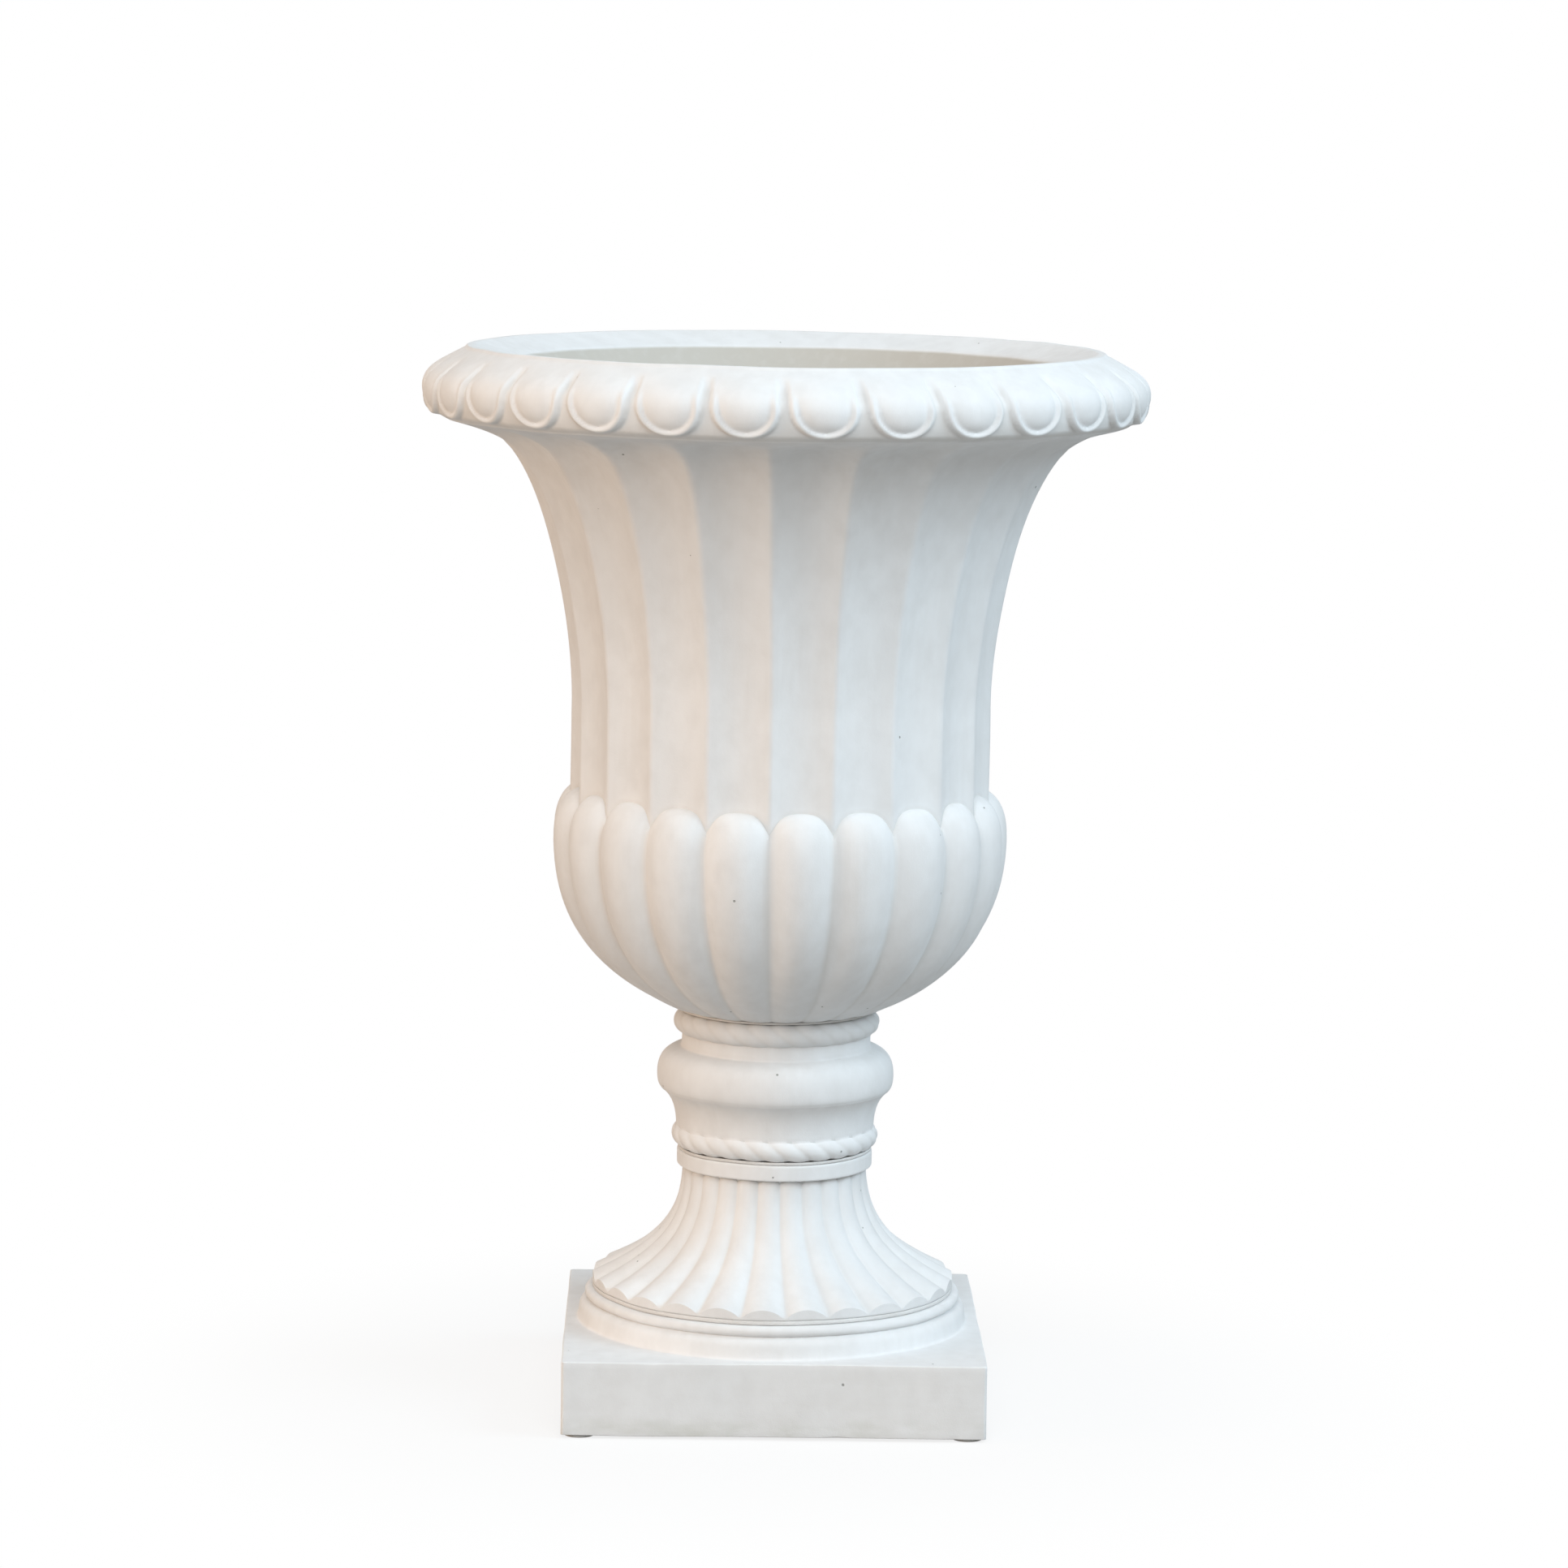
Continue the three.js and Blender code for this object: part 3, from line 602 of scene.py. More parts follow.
crest = rounded([
    (COLLAR_RADIUS, COLLAR_BOTTOM, 0),
    (COLLAR_RADIUS - 2 * MM, CREST_TOP, 0.7 * MM),
    (COLLAR_RADIUS - 7 * MM, CREST_TOP, 1.2 * MM),
    (MOUTH_RADIUS, BEVEL_BOTTOM, 2.5 * MM),
    (MOUTH_RADIUS - 5 * MM, BEVEL_BOTTOM - 7 * MM, 0),
])
wall = bow(
    (INNER_RADIUS, FLARE_START + 40 * MM), (MOUTH_RADIUS, BEVEL_BOTTOM), (0.03, 0.48), (0.64, 0.88), 24)
bottom = bow((FLOOR_RADIUS, FLOOR_TOP), (INNER_RADIUS, CUP_WIDEST + 23 * MM), (0.7, 0.05), (1, 0.4), 18)
under = rounded([
    (FLOOR_RADIUS - 4 * MM, FLOOR_TOP, 0),
    (BOLT_HOLE_RADIUS, FLOOR_TOP, 0.8 * MM),
    (BOLT_HOLE_RADIUS, BOWL_SOCKET_TOP, 0.8 * MM),
    (STEM_SOCKET_RADIUS, BOWL_SOCKET_TOP, 2 * MM),
    (STEM_SOCKET_RADIUS, BOWL_BOTTOM, 1 * MM),
    (CUP_FOOT_RADIUS - 8 * MM, BOWL_BOTTOM, 0),
])
inside = np.concatenate([wall[::-1][3:], bottom[::-1]])
# The inside below the bevel gets the same painted shade and soil dust.
crest_recess = INSIDE_SHADE_AND_DUST * smooth(BEVEL_BOTTOM, BEVEL_BOTTOM - 2 * MM, crest[:-1, 1])
bowl = casting("bowl", [
    cup, bell, *rim,
    turned(crest[:-1], 240, crest_recess),
    turned(inside, 180, INSIDE_SHADE_AND_DUST),
    turned(under, 96),
], drilled=(BOWL_SOCKET_TOP, FLOOR_TOP))

# %% [markdown]
# ## Stem
#
# The stem is turned: a hollow cavetto, a fat knop with a sharp lower edge, and a short neck. A rope
# ring closes it at both ends. A rope is a ring whose round section shrinks between its strands, and
# the strands lean, because the pattern's angle shifts by one repeat from the top of the section to
# its foot. The upper rope lies in the bowl's drip line, so its strands are cut less deep.

# %% Stem
stem_low, stem_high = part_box("stem")
SPIGOT_HEIGHT = 8 * MM
SPIGOT_RADIUS = 54 * MM
CORE_RADIUS = 40 * MM
STEM_BOTTOM, STEM_TOP = stem_low.z + SPIGOT_HEIGHT, stem_high.z - SPIGOT_HEIGHT
ROPE_RADIUS = 74.6 * MM
ROPE_HALF = 8.5 * MM
ROPE_STRANDS = 26
LOWER_STRAND_DEPTH = 1.3 * MM
UPPER_STRAND_DEPTH = 0.9 * MM
STRAND_WEAR = 0.15
STRAND_ROUNDNESS = 2.2
# How much the valleys between strands are darkened: painted shade with dust.
STRAND_RECESS = 0.6
STRAND_POINTS = 20
CAVETTO_RADIUS = 71.5 * MM
KNOP_ARRIS_RADIUS = 83 * MM
KNOP_RADIUS = 85.6 * MM
NECK_RADIUS = 68.3 * MM
CAVETTO_BOTTOM = STEM_BOTTOM + 2 * ROPE_HALF
KNOP_BOTTOM = CAVETTO_BOTTOM + 26 * MM
KNOP_WIDEST = KNOP_BOTTOM + 10 * MM
NECK_BOTTOM = KNOP_BOTTOM + 30 * MM


def rope_band(middle, lean, phase, depth):
    """A ring of strands. At a lean t round the section, between two angles, the section's half is cut
    by depth·strand^2.2, and r = core + half·cos t, z = middle + half·sin t. A strand turns one repeat
    from top to foot."""
    t = np.radians(np.linspace(*lean, 26))[:, None]
    angle = loop_angles(ROPE_STRANDS * STRAND_POINTS)[None, :]
    twist = np.sin(t) / 2 * TURN / ROPE_STRANDS
    strand = across(angle + twist, ROPE_STRANDS, math.radians(phase))
    half = ROPE_HALF - depth * worn(strand, STRAND_WEAR)**STRAND_ROUNDNESS
    radius = ROPE_RADIUS - ROPE_HALF + half * np.cos(t)
    recess = STRAND_RECESS * smooth(0.55, 1, np.abs(strand))
    return place(radius, middle + half * np.sin(t), angle, recess)


lower_rope = rope_band(STEM_BOTTOM + ROPE_HALF, (-90, 52), 0.6, LOWER_STRAND_DEPTH)
upper_rope = rope_band(STEM_TOP - ROPE_HALF, (-74, 90), 2.0, UPPER_STRAND_DEPTH)
arris, widest = (KNOP_ARRIS_RADIUS, KNOP_BOTTOM), (KNOP_RADIUS, KNOP_WIDEST)
neck_foot = (NECK_RADIUS + 0.4 * MM, NECK_BOTTOM + 0.8 * MM)
shaft = np.concatenate([
    bow((CAVETTO_RADIUS, CAVETTO_BOTTOM), arris, (0.05, 0.5), (0.4, 0.8), 18),
    bow((KNOP_ARRIS_RADIUS, KNOP_BOTTOM + 0.3 * MM), widest, (0.6, 0.1), (1, 0.5), 9),
    bow(widest, (NECK_RADIUS + MM, NECK_BOTTOM), (0, 0.55), (0.25, 0.92), 22)[1:],
    bow(neck_foot, (NECK_RADIUS, NECK_BOTTOM + 4 * MM), (0, 0.3), (0, 0.6), 4),
    [[NECK_RADIUS, NECK_BOTTOM + 9 * MM]],
])
# painted shade with dust in the crease at the foot of the neck
shaft_recess = 0.5 * smooth(5 * MM, 0, np.abs(shaft[:, 1] - NECK_BOTTOM))
stem_ends = rounded([
    (ROPE_RADIUS - ROPE_HALF - MM, STEM_TOP, 0),
    (SPIGOT_RADIUS, STEM_TOP, 1 * MM),
    (SPIGOT_RADIUS, STEM_TOP + SPIGOT_HEIGHT, 1 * MM),
    (CORE_RADIUS, STEM_TOP + SPIGOT_HEIGHT, 1 * MM),
    (CORE_RADIUS, STEM_BOTTOM - SPIGOT_HEIGHT, 1 * MM),
    (SPIGOT_RADIUS, STEM_BOTTOM - SPIGOT_HEIGHT, 1 * MM),
    (SPIGOT_RADIUS, STEM_BOTTOM, 1 * MM),
    (ROPE_RADIUS - ROPE_HALF - MM, STEM_BOTTOM, 0),
])
stem = casting("stem", [lower_rope, turned(shaft, 260, shaft_recess), upper_rope, turned(stem_ends, 120)])

# %% [markdown]
# ## Foot
#
# Twenty-six convex ribs run down the flare of the foot like the folds of a skirt. Each has a round
# head under the plain fillet, and each ends below in a small arch, where the upright edge of the
# casting cuts it off. Near that edge the flare lies almost flat, so a groove has to sink downwards
# there, while at the waist it goes inwards: the carving leans over from one to the other.

# %% Foot
foot_low, foot_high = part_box("foot")
FOOT_BOTTOM, FOOT_TOP = foot_low.z, foot_high.z
RIB_COUNT = 26
RIB_POINTS = 22
RIB_PHASE = math.radians(3)
RIB_DEPTH_LOW = 7.4 * MM
RIB_DEPTH_HIGH = 2.2 * MM
RIB_SLOPE = 0.82
GROOVE_WEAR = 0.08
RIB_HEAD_DEPTH = 3.6 * MM
RIB_HEAD_DROP = 0.45
# How much the upright edge and neck of the foot are darkened: painted shade with dust.
EDGE_RECESS = 0.3
FOOT_EDGE_RADIUS = 130.4 * MM
FOOT_NECK_RADIUS = 129.5 * MM
FOOT_NECK_TOP = FOOT_BOTTOM + 1.8 * MM
FLARE_BOTTOM = FOOT_NECK_TOP + 7.2 * MM
WAIST_RADIUS = 66.7 * MM
FILLET_RADIUS = 70.5 * MM
FILLET_BOTTOM = FOOT_TOP - 11.5 * MM
FLARE_TOP = FILLET_BOTTOM - 6 * MM
FOOT_SOCKET_RADIUS = 94.5 * MM
CORE_BOTTOM = FOOT_BOTTOM + 60 * MM
rib_angles = loop_angles(RIB_COUNT * RIB_POINTS, RIB_PHASE)
rib_across = across(rib_angles, RIB_COUNT, RIB_PHASE)
# Painted shade with dust: the grooves between ribs, and the crease under their heads, are darkened.
in_groove = 0.5 * smooth(0.62, 1, np.abs(rib_across))


def rib_bands():
    """Loops up the upright edge, over it, up the ribs and round their heads."""
    fall = arch(rib_across, RIB_SLOPE, GROOVE_WEAR)
    flare = bow((FOOT_EDGE_RADIUS, FLARE_BOTTOM), (WAIST_RADIUS, FLARE_TOP), (0.65, 0.27), (0.95, 0.48), 40)
    share = (flare[:, 1:] - FLARE_BOTTOM) / (FLARE_TOP - FLARE_BOTTOM)
    depth = RIB_DEPTH_LOW + (RIB_DEPTH_HIGH - RIB_DEPTH_LOW) * np.sqrt(share)
    lean = 1 - share
    radius = flare[:, :1] - depth * fall * (1 - lean)
    height = flare[:, 1:] - depth * fall * lean
    ribs = place(radius, height, rib_angles, in_groove)

    up = np.linspace(0, 0.8, 5)[:, None]
    edge_height = FOOT_NECK_TOP + (height[:1] - FOOT_NECK_TOP) * up
    edge = place(FOOT_EDGE_RADIUS, edge_height, rib_angles, EDGE_RECESS)

    t = np.linspace(0, math.pi / 2, 8)[1:, None]
    core = WAIST_RADIUS - RIB_HEAD_DEPTH
    head_reach = (FILLET_BOTTOM - FLARE_TOP) * (1 - RIB_HEAD_DROP * rib_across**2)
    head = place(
        core + (radius[-1:] - core) * np.cos(t), FLARE_TOP + head_reach * np.sin(t), rib_angles,
        np.clip(in_groove + smooth(0.5, 1.5, t), 0, 1))
    return np.concatenate([edge, ribs, head])


foot_neck = rounded([
    (FOOT_NECK_RADIUS - 6 * MM, FOOT_BOTTOM, 0),
    (FOOT_NECK_RADIUS, FOOT_BOTTOM, 0.8 * MM),
    (FOOT_NECK_RADIUS, FOOT_NECK_TOP - 0.6 * MM, 0.5 * MM),
    (FOOT_EDGE_RADIUS - 0.2 * MM, FOOT_NECK_TOP - 0.2 * MM, 0),
])
foot_top = rounded([
    (WAIST_RADIUS - 3 * MM, FILLET_BOTTOM, 0),
    (FILLET_RADIUS, FILLET_BOTTOM, 1.4 * MM),
    (FILLET_RADIUS, FOOT_TOP, 1.8 * MM),
    (STEM_SOCKET_RADIUS, FOOT_TOP, 1 * MM),
    (STEM_SOCKET_RADIUS, FOOT_TOP - SOCKET_DEPTH, 1 * MM),
    (CORE_RADIUS, FOOT_TOP - SOCKET_DEPTH, 1 * MM),
    (CORE_RADIUS, CORE_BOTTOM, 3 * MM),
    (FOOT_SOCKET_RADIUS, FOOT_BOTTOM + SOCKET_DEPTH, 2 * MM),
    (FOOT_SOCKET_RADIUS, FOOT_BOTTOM, 1 * MM),
    (FOOT_NECK_RADIUS - 10 * MM, FOOT_BOTTOM, 0),
])
foot = casting("foot", [turned(foot_neck, 240, EDGE_RECESS), rib_bands(), turned(foot_top, 240)])

# %% [markdown]
# ## Plinth
#
# The plinth starts square and ends round. Its loops do the same: rounded squares up the block and
# over its edge, then circles for the two rings, whose corners are all worn soft. The block is hollow
# underneath, with a round pocket for the nuts. Its arrises took knocks when the casting left the
# mould, so a noise along the edge makes the rounding wider here and there, as small chips do.

# %% Plinth
plinth_low, plinth_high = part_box("plinth")
PLINTH_HALF = plinth_high.x
PLINTH_BOTTOM = plinth_low.z
PLINTH_TOP = PLINTH_BOTTOM + 52.7 * MM
BASE_TOP = plinth_high.z - SPIGOT_HEIGHT
HOLLOW_HALF = PLINTH_HALF - 26 * MM
HOLLOW_TOP = PLINTH_BOTTOM + 28 * MM
WEB_BOTTOM = HOLLOW_TOP + 14 * MM
POCKET_RADIUS = 60 * MM
TORUS_TOP = PLINTH_TOP + 15.3 * MM
LOWER_TORUS_RADIUS = 140 * MM
UPPER_TORUS_RADIUS = 136 * MM
TORUS_SOFTNESS = 2.1 * MM
SPIGOT_RING_OUTER = 94 * MM
SPIGOT_RING_INNER = 82 * MM
BLOCK_CORNER = 2.2 * MM
TOP_INSET = 4 * MM
LOW_CHIPS = (0.5 * MM, 2.2 * MM, 3)
HIGH_CHIPS = (0.9 * MM, 1.6 * MM, 8)
RIPPLE_TURNS = np.array([5, 11, 17, 29, 43, 71])
RIPPLE_FALL = 0.35
RIPPLE_PEAK = 2.2


def square(half, corner, straight=44, bend=9):
    """Points of a rounded square, from the middle of its front towards +X: half a side, a quarter
    circle and half a side, four times, each time turned by a quarter."""
    side = np.linspace(0, 1, straight, endpoint=False) ** 0.8 * (half - corner)
    t = np.linspace(0, math.pi / 2, bend)
    front = np.stack([side, np.full(straight, -half)], axis=1)
    arc = np.stack([half - corner + corner * np.sin(t), corner - half - corner * np.cos(t)], axis=1)
    right = np.stack([np.full(straight, half), -side[::-1]], axis=1)[:-1]
    quarter = np.concatenate([front, arc, right])
    quarters = [quarter @ np.array([[c, s], [-s, c]]) for c, s in ((1, 0), (0, 1), (-1, 0), (0, -1))]
    return np.concatenate(quarters)


def ripple(distance, seed):
    """A rough line of values from 0 to 1 along a closed edge: sines of rising pitch and falling height,
    then squared so that only their peaks stand out."""
    starts = np.random.default_rng(seed).uniform(0, TURN, len(RIPPLE_TURNS))
    waves = np.sin(TURN * distance[:, None] * RIPPLE_TURNS + starts) / RIPPLE_TURNS**RIPPLE_FALL
    return np.clip(waves.sum(1) / RIPPLE_PEAK, 0, 1)**2


def square_rows(outline, heights, insets=0.0):
    """Loops of the outline at those heights, each drawn in towards the axis by its insets."""
    heights, insets = np.broadcast_arrays(heights, insets)
    half = outline.max()
    across_and_along = outline * (1 - insets / half)[..., None]
    filled = np.broadcast_to(heights[..., None], (*across_and_along.shape[:2], 1))
    return np.concatenate([across_and_along, filled, 0 * filled], axis=-1)


def block_band():
    """Rounded squares up the block. An arris is a quarter circle whose radius is least + more·ripple."""
    outline = square(PLINTH_HALF, BLOCK_CORNER)
    share = np.linspace(0, 1, len(outline), endpoint=False)
    low, high = (least + more * ripple(share, seed) for least, more, seed in (LOW_CHIPS, HIGH_CHIPS))
    t = np.linspace(0, math.pi / 2, 5)[:, None]
    face = np.linspace(PLINTH_BOTTOM + 5 * MM, PLINTH_TOP - 5 * MM, 9)[:, None] + 0 * share
    heights = [PLINTH_BOTTOM + low * (1 - np.cos(t)), face, PLINTH_TOP - high * (1 - np.sin(t))]
    insets = [low * (1 - np.sin(t)), 0 * face, high * (1 - np.cos(t))]
    heights.append(PLINTH_TOP + 0 * face[:1])
    insets.append(TOP_INSET + 0 * face[:1])
    return square_rows(outline, np.concatenate(heights), np.concatenate(insets))


ring_line = softened(np.concatenate([
    [[LOWER_TORUS_RADIUS + 4 * MM, PLINTH_TOP], [LOWER_TORUS_RADIUS + MM, PLINTH_TOP]],
    bead(LOWER_TORUS_RADIUS, PLINTH_TOP, TORUS_TOP, 8 * MM, 41)[20:],
    bead(UPPER_TORUS_RADIUS, TORUS_TOP, BASE_TOP, 4 * MM, 24)[1:],
]), TORUS_SOFTNESS)
rings = spaced(ring_line, np.linspace(0, lengths_along(ring_line)[-1], 40))
# painted shade with dust in the crease between the two rings
ring_recess = 0.3 * smooth(3 * MM, 0, np.abs(rings[:, 1] - TORUS_TOP))
hollow_heights = np.array([[HOLLOW_TOP - 0.2 * MM], [HOLLOW_TOP - 3 * MM], [PLINTH_BOTTOM + MM]])
base_top = rounded([
    (FOOT_NECK_RADIUS + 1 * MM, BASE_TOP, 0),
    (SPIGOT_RING_OUTER, BASE_TOP, 1 * MM),
    (SPIGOT_RING_OUTER, BASE_TOP + SPIGOT_HEIGHT, 1 * MM),
    (SPIGOT_RING_INNER, BASE_TOP + SPIGOT_HEIGHT, 1 * MM),
    (SPIGOT_RING_INNER, BASE_TOP, 1 * MM),
    (BOLT_HOLE_RADIUS, BASE_TOP, 0.8 * MM),
    (BOLT_HOLE_RADIUS, WEB_BOTTOM, 0.8 * MM),
    (POCKET_RADIUS, WEB_BOTTOM, 2 * MM),
    (POCKET_RADIUS, HOLLOW_TOP, 1.5 * MM),
    (POCKET_RADIUS + 12 * MM, HOLLOW_TOP, 0),
])
plinth = casting("plinth", [
    block_band(),
    turned(rings, 300, ring_recess),
    turned(base_top, 120),
    square_rows(square(HOLLOW_HALF, 6 * MM), hollow_heights),
    square_rows(square(HOLLOW_HALF + MM, 7 * MM), np.array([[PLINTH_BOTTOM]])),
], drilled=(WEB_BOTTOM, BASE_TOP))

# %% [markdown]
# ## Mortar beds
#
# Each joint is filled with a thin ring of mortar, pointed out to the faces of the castings, so that
# no dark line stays open between them. Each joint has an outline of its own there, as pairs of radius
# and height. It is slightly ragged: its radius gets the same kind of rippling line as the chipped
# arris.

# %% Mortar beds
BED_RAGGED = 0.5 * MM
BED_EDGES = {
    "bowl": bead(70.5 * MM, BOWL_BOTTOM - 1.9 * MM, BOWL_BOTTOM - 0.1 * MM, 0.9 * MM, 6),
    "stem": [0, FOOT_TOP] + MM * np.array([
        [69.2, 0.1], [69.8, 0.4], [70.0, 1.1], [70.0, 2.0], [69.7, 2.4], [68.6, 2.1], [67.2, 1.9]]),
    "foot": [0, BASE_TOP] + MM * np.array([
        [129.3, 0.15], [130.2, 0.3], [130.5, 1.2], [130.4, 2.6],
        [130.1, 3.3], [129.8, 3.1], [129.75, 2.2], [129.2, 1.85]]),
}


def mortar_bed(joint):
    """A flat ring round the joint's spigot. Its outer edge has the joint's own outline, made ragged."""
    node = f"{joint}_bed"
    low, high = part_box(node)
    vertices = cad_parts[node].data.vertices
    points = np.empty(3 * len(vertices))
    vertices.foreach_get("co", points)
    inner = np.hypot(points[0::3], points[1::3]).min()
    edge = BED_EDGES[joint]
    ragged = BED_RAGGED * ripple(np.linspace(0, 1, 200, endpoint=False), 21)
    outer = place(edge[:, :1] + ragged, edge[:, 1:], loop_angles(200))
    inner_wall = turned(np.array([[inner, high.z], [inner, low.z]]), 80)
    return dress(skin(f"{joint}_mortar", [uneven(outer), uneven(inner_wall)]), node)


beds = [mortar_bed(joint) for joint in BED_EDGES]
print("beds:", [bed.name for bed in beds])

# %% [markdown]
# ## Tie rod, nuts and washers
#
# The rod is threaded at both ends only. Its thread is a triangle wave of height and angle together:
# one turn round the rod shifts it by one pitch. A nut is a hexagon whose corners are cut by a cone,
# which is simply the smaller of two radii at each height.

# %% Hardware
rod_low, rod_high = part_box("tie_rod")
ROD_RADIUS = 8 * MM
ROD_CHAMFER = 1.4 * MM
THREAD_PITCH = 2 * MM
THREAD_DEPTH = 1.2 * MM
THREAD_LENGTH = 46 * MM
THREAD_START = 1 * MM
THREAD_RUNOUT = 5 * MM
THREAD_CLEARANCE = 0.3 * MM
BORE_RADIUS = ROD_RADIUS + THREAD_CLEARANCE
NUT_APOTHEM = 12 * MM
NUT_END_RADIUS = 0.97 * NUT_APOTHEM
NUT_CHAMFER_SLOPE = math.tan(math.radians(30))


def thread_band(low, high, fade_low, fade_high):
    """Loops up a threaded end. The depth is a triangle wave of height/pitch - angle/turn, with its
    peaks cut flat, and it fades at the end of the rod and where the thread runs out."""
    height = np.arange(low, high, THREAD_PITCH / 6)[:, None]
    angle = loop_angles(24)
    phase = height / THREAD_PITCH - angle / TURN
    wave = np.abs(2 * (phase - np.floor(phase)) - 1)
    ends = smooth(low, low + fade_low, height) * (1 - smooth(high - fade_high, high, height))
    chamfer = ROD_CHAMFER - np.minimum(height - rod_low.z, rod_high.z - height)
    radius = ROD_RADIUS - THREAD_DEPTH * np.clip(wave * 1.3 - 0.1, 0, 1) * ends
    return place(np.minimum(radius, ROD_RADIUS - np.maximum(chamfer, 0)), height, angle)


def hexagon(angle):
    """Distance from the axis to a hexagon's side: apothem / cos of the angle from the side's middle."""
    from_side = (angle + math.pi / 6) % (math.pi / 3) - math.pi / 6
    return NUT_APOTHEM / np.cos(from_side)


def nut(name, node):
    """A hexagon nut in its node's box, with both ends chamfered, and a countersunk bore."""
    low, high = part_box(node)
    angle = loop_angles(144)
    depth = np.array([0, 0.35, 0.7, 1.1, 1.6, 2.2])[:, None] * MM
    cone = NUT_END_RADIUS + depth / NUT_CHAMFER_SLOPE
    foot = place(np.minimum(hexagon(angle), cone), low.z + depth, angle)
    head = place(np.minimum(hexagon(angle), cone), high.z - depth, angle)[::-1]
    bore = rounded([
        (BORE_RADIUS + 3 * MM, high.z, 0),
        (BORE_RADIUS + MM, high.z, 0.2 * MM),
        (BORE_RADIUS, high.z - MM, 0.2 * MM),
        (BORE_RADIUS, low.z + MM, 0.2 * MM),
        (BORE_RADIUS + MM, low.z, 0.2 * MM),
        (BORE_RADIUS + 3 * MM, low.z, 0),
    ])
    return sharpen(dress(skin(name, [np.concatenate([foot, head]), turned(bore, 72)]), node), 24)


def washer(name, node, fillet):
    """A flat ring in its node's box, with its rims a little rounded."""
    low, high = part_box(node)
    outline = rounded([
        (BORE_RADIUS + 4 * MM, low.z, 0),
        (high.x, low.z, fillet),
        (high.x, high.z, fillet),
        (BORE_RADIUS, high.z, fillet / 2),
        (BORE_RADIUS, low.z, fillet / 2),
        (BORE_RADIUS + 3 * MM, low.z, 0),
    ])
    return sharpen(dress(skin(name, [turned(outline, 96)]), node), 40)


shank_foot, shank_head = rod_low.z + THREAD_LENGTH, rod_high.z - THREAD_LENGTH
shank_heights = np.linspace(shank_foot + MM, shank_head - MM, 5)
rod = dress(skin("tie_rod_threaded", [
    thread_band(rod_low.z, shank_foot, THREAD_START, THREAD_RUNOUT),
    place(ROD_RADIUS, shank_heights[:, None], loop_angles(24)),
    thread_band(shank_head, rod_high.z, THREAD_RUNOUT, THREAD_START),
], ends_meet=False), "tie_rod")
steel_pieces = [
    rod,
    nut("top_hex_nut", "top_nut"),
    nut("bottom_hex_nut", "bottom_nut"),
    nut("lock_hex_nut", "lock_nut"),
    washer("top_plate_washer", "top_washer", 0.6 * MM),
    washer("bottom_plate_washer", "bottom_washer", 0.6 * MM),
]
seal = washer("rubber_seal", "sealing_washer", 0.8 * MM)
print("steel pieces:", [piece.name for piece in steel_pieces])

# %% [markdown]
# ## Pads
#
# Four thin rubber discs keep the plinth off the paving, so that drain water gets out. Weight has
# bulged their sides a little, which the half ellipse of a bead gives.

# %% Pads
def pad(node):
    """A disc in the node's box with a bulged side."""
    low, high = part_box(node)
    centre = (low + high) / 2
    radius = (high.x - low.x) / 2
    side = turned(bead(radius, low.z, high.z, 0.8 * MM, 7), 48)
    side[..., :2] += [centre.x, centre.y]
    return dress(skin(f"{node}_disc", [side], ends_meet=False), node)


pads = [pad(node) for node in sorted(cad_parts) if node.startswith("pad_")]
print("pads:", [piece.name for piece in pads])

# %% [markdown]
# ## Shader maths
#
# A material is a small program of nodes. Two classes make it readable. Nodes adds any node with its
# settings and sockets in one call, and Wire is an output that can be added or multiplied like a
# number, which adds the Math node behind the scenes. Colours are written as a screen shows them, from
# 0 to 255, and turned into light here.

# %% Shader maths
class Wire:
    """The output of a node. Each sum or product with it becomes one Math node."""

    def __init__(self, nodes, socket):
        self.nodes, self.socket = nodes, socket

    def maths(self, operation, first, second):
        return self.nodes.add("ShaderNodeMath", {"operation": operation}, {0: first, 1: second})

    def __add__(self, other):
        return self.maths("ADD", self, other)

    def __sub__(self, other):
        return self.maths("SUBTRACT", self, other)

    def __rsub__(self, other):
        return self.maths("SUBTRACT", other, self)

    def __mul__(self, other):
        return self.maths("MULTIPLY", self, other)

    __radd__, __rmul__ = __add__, __mul__


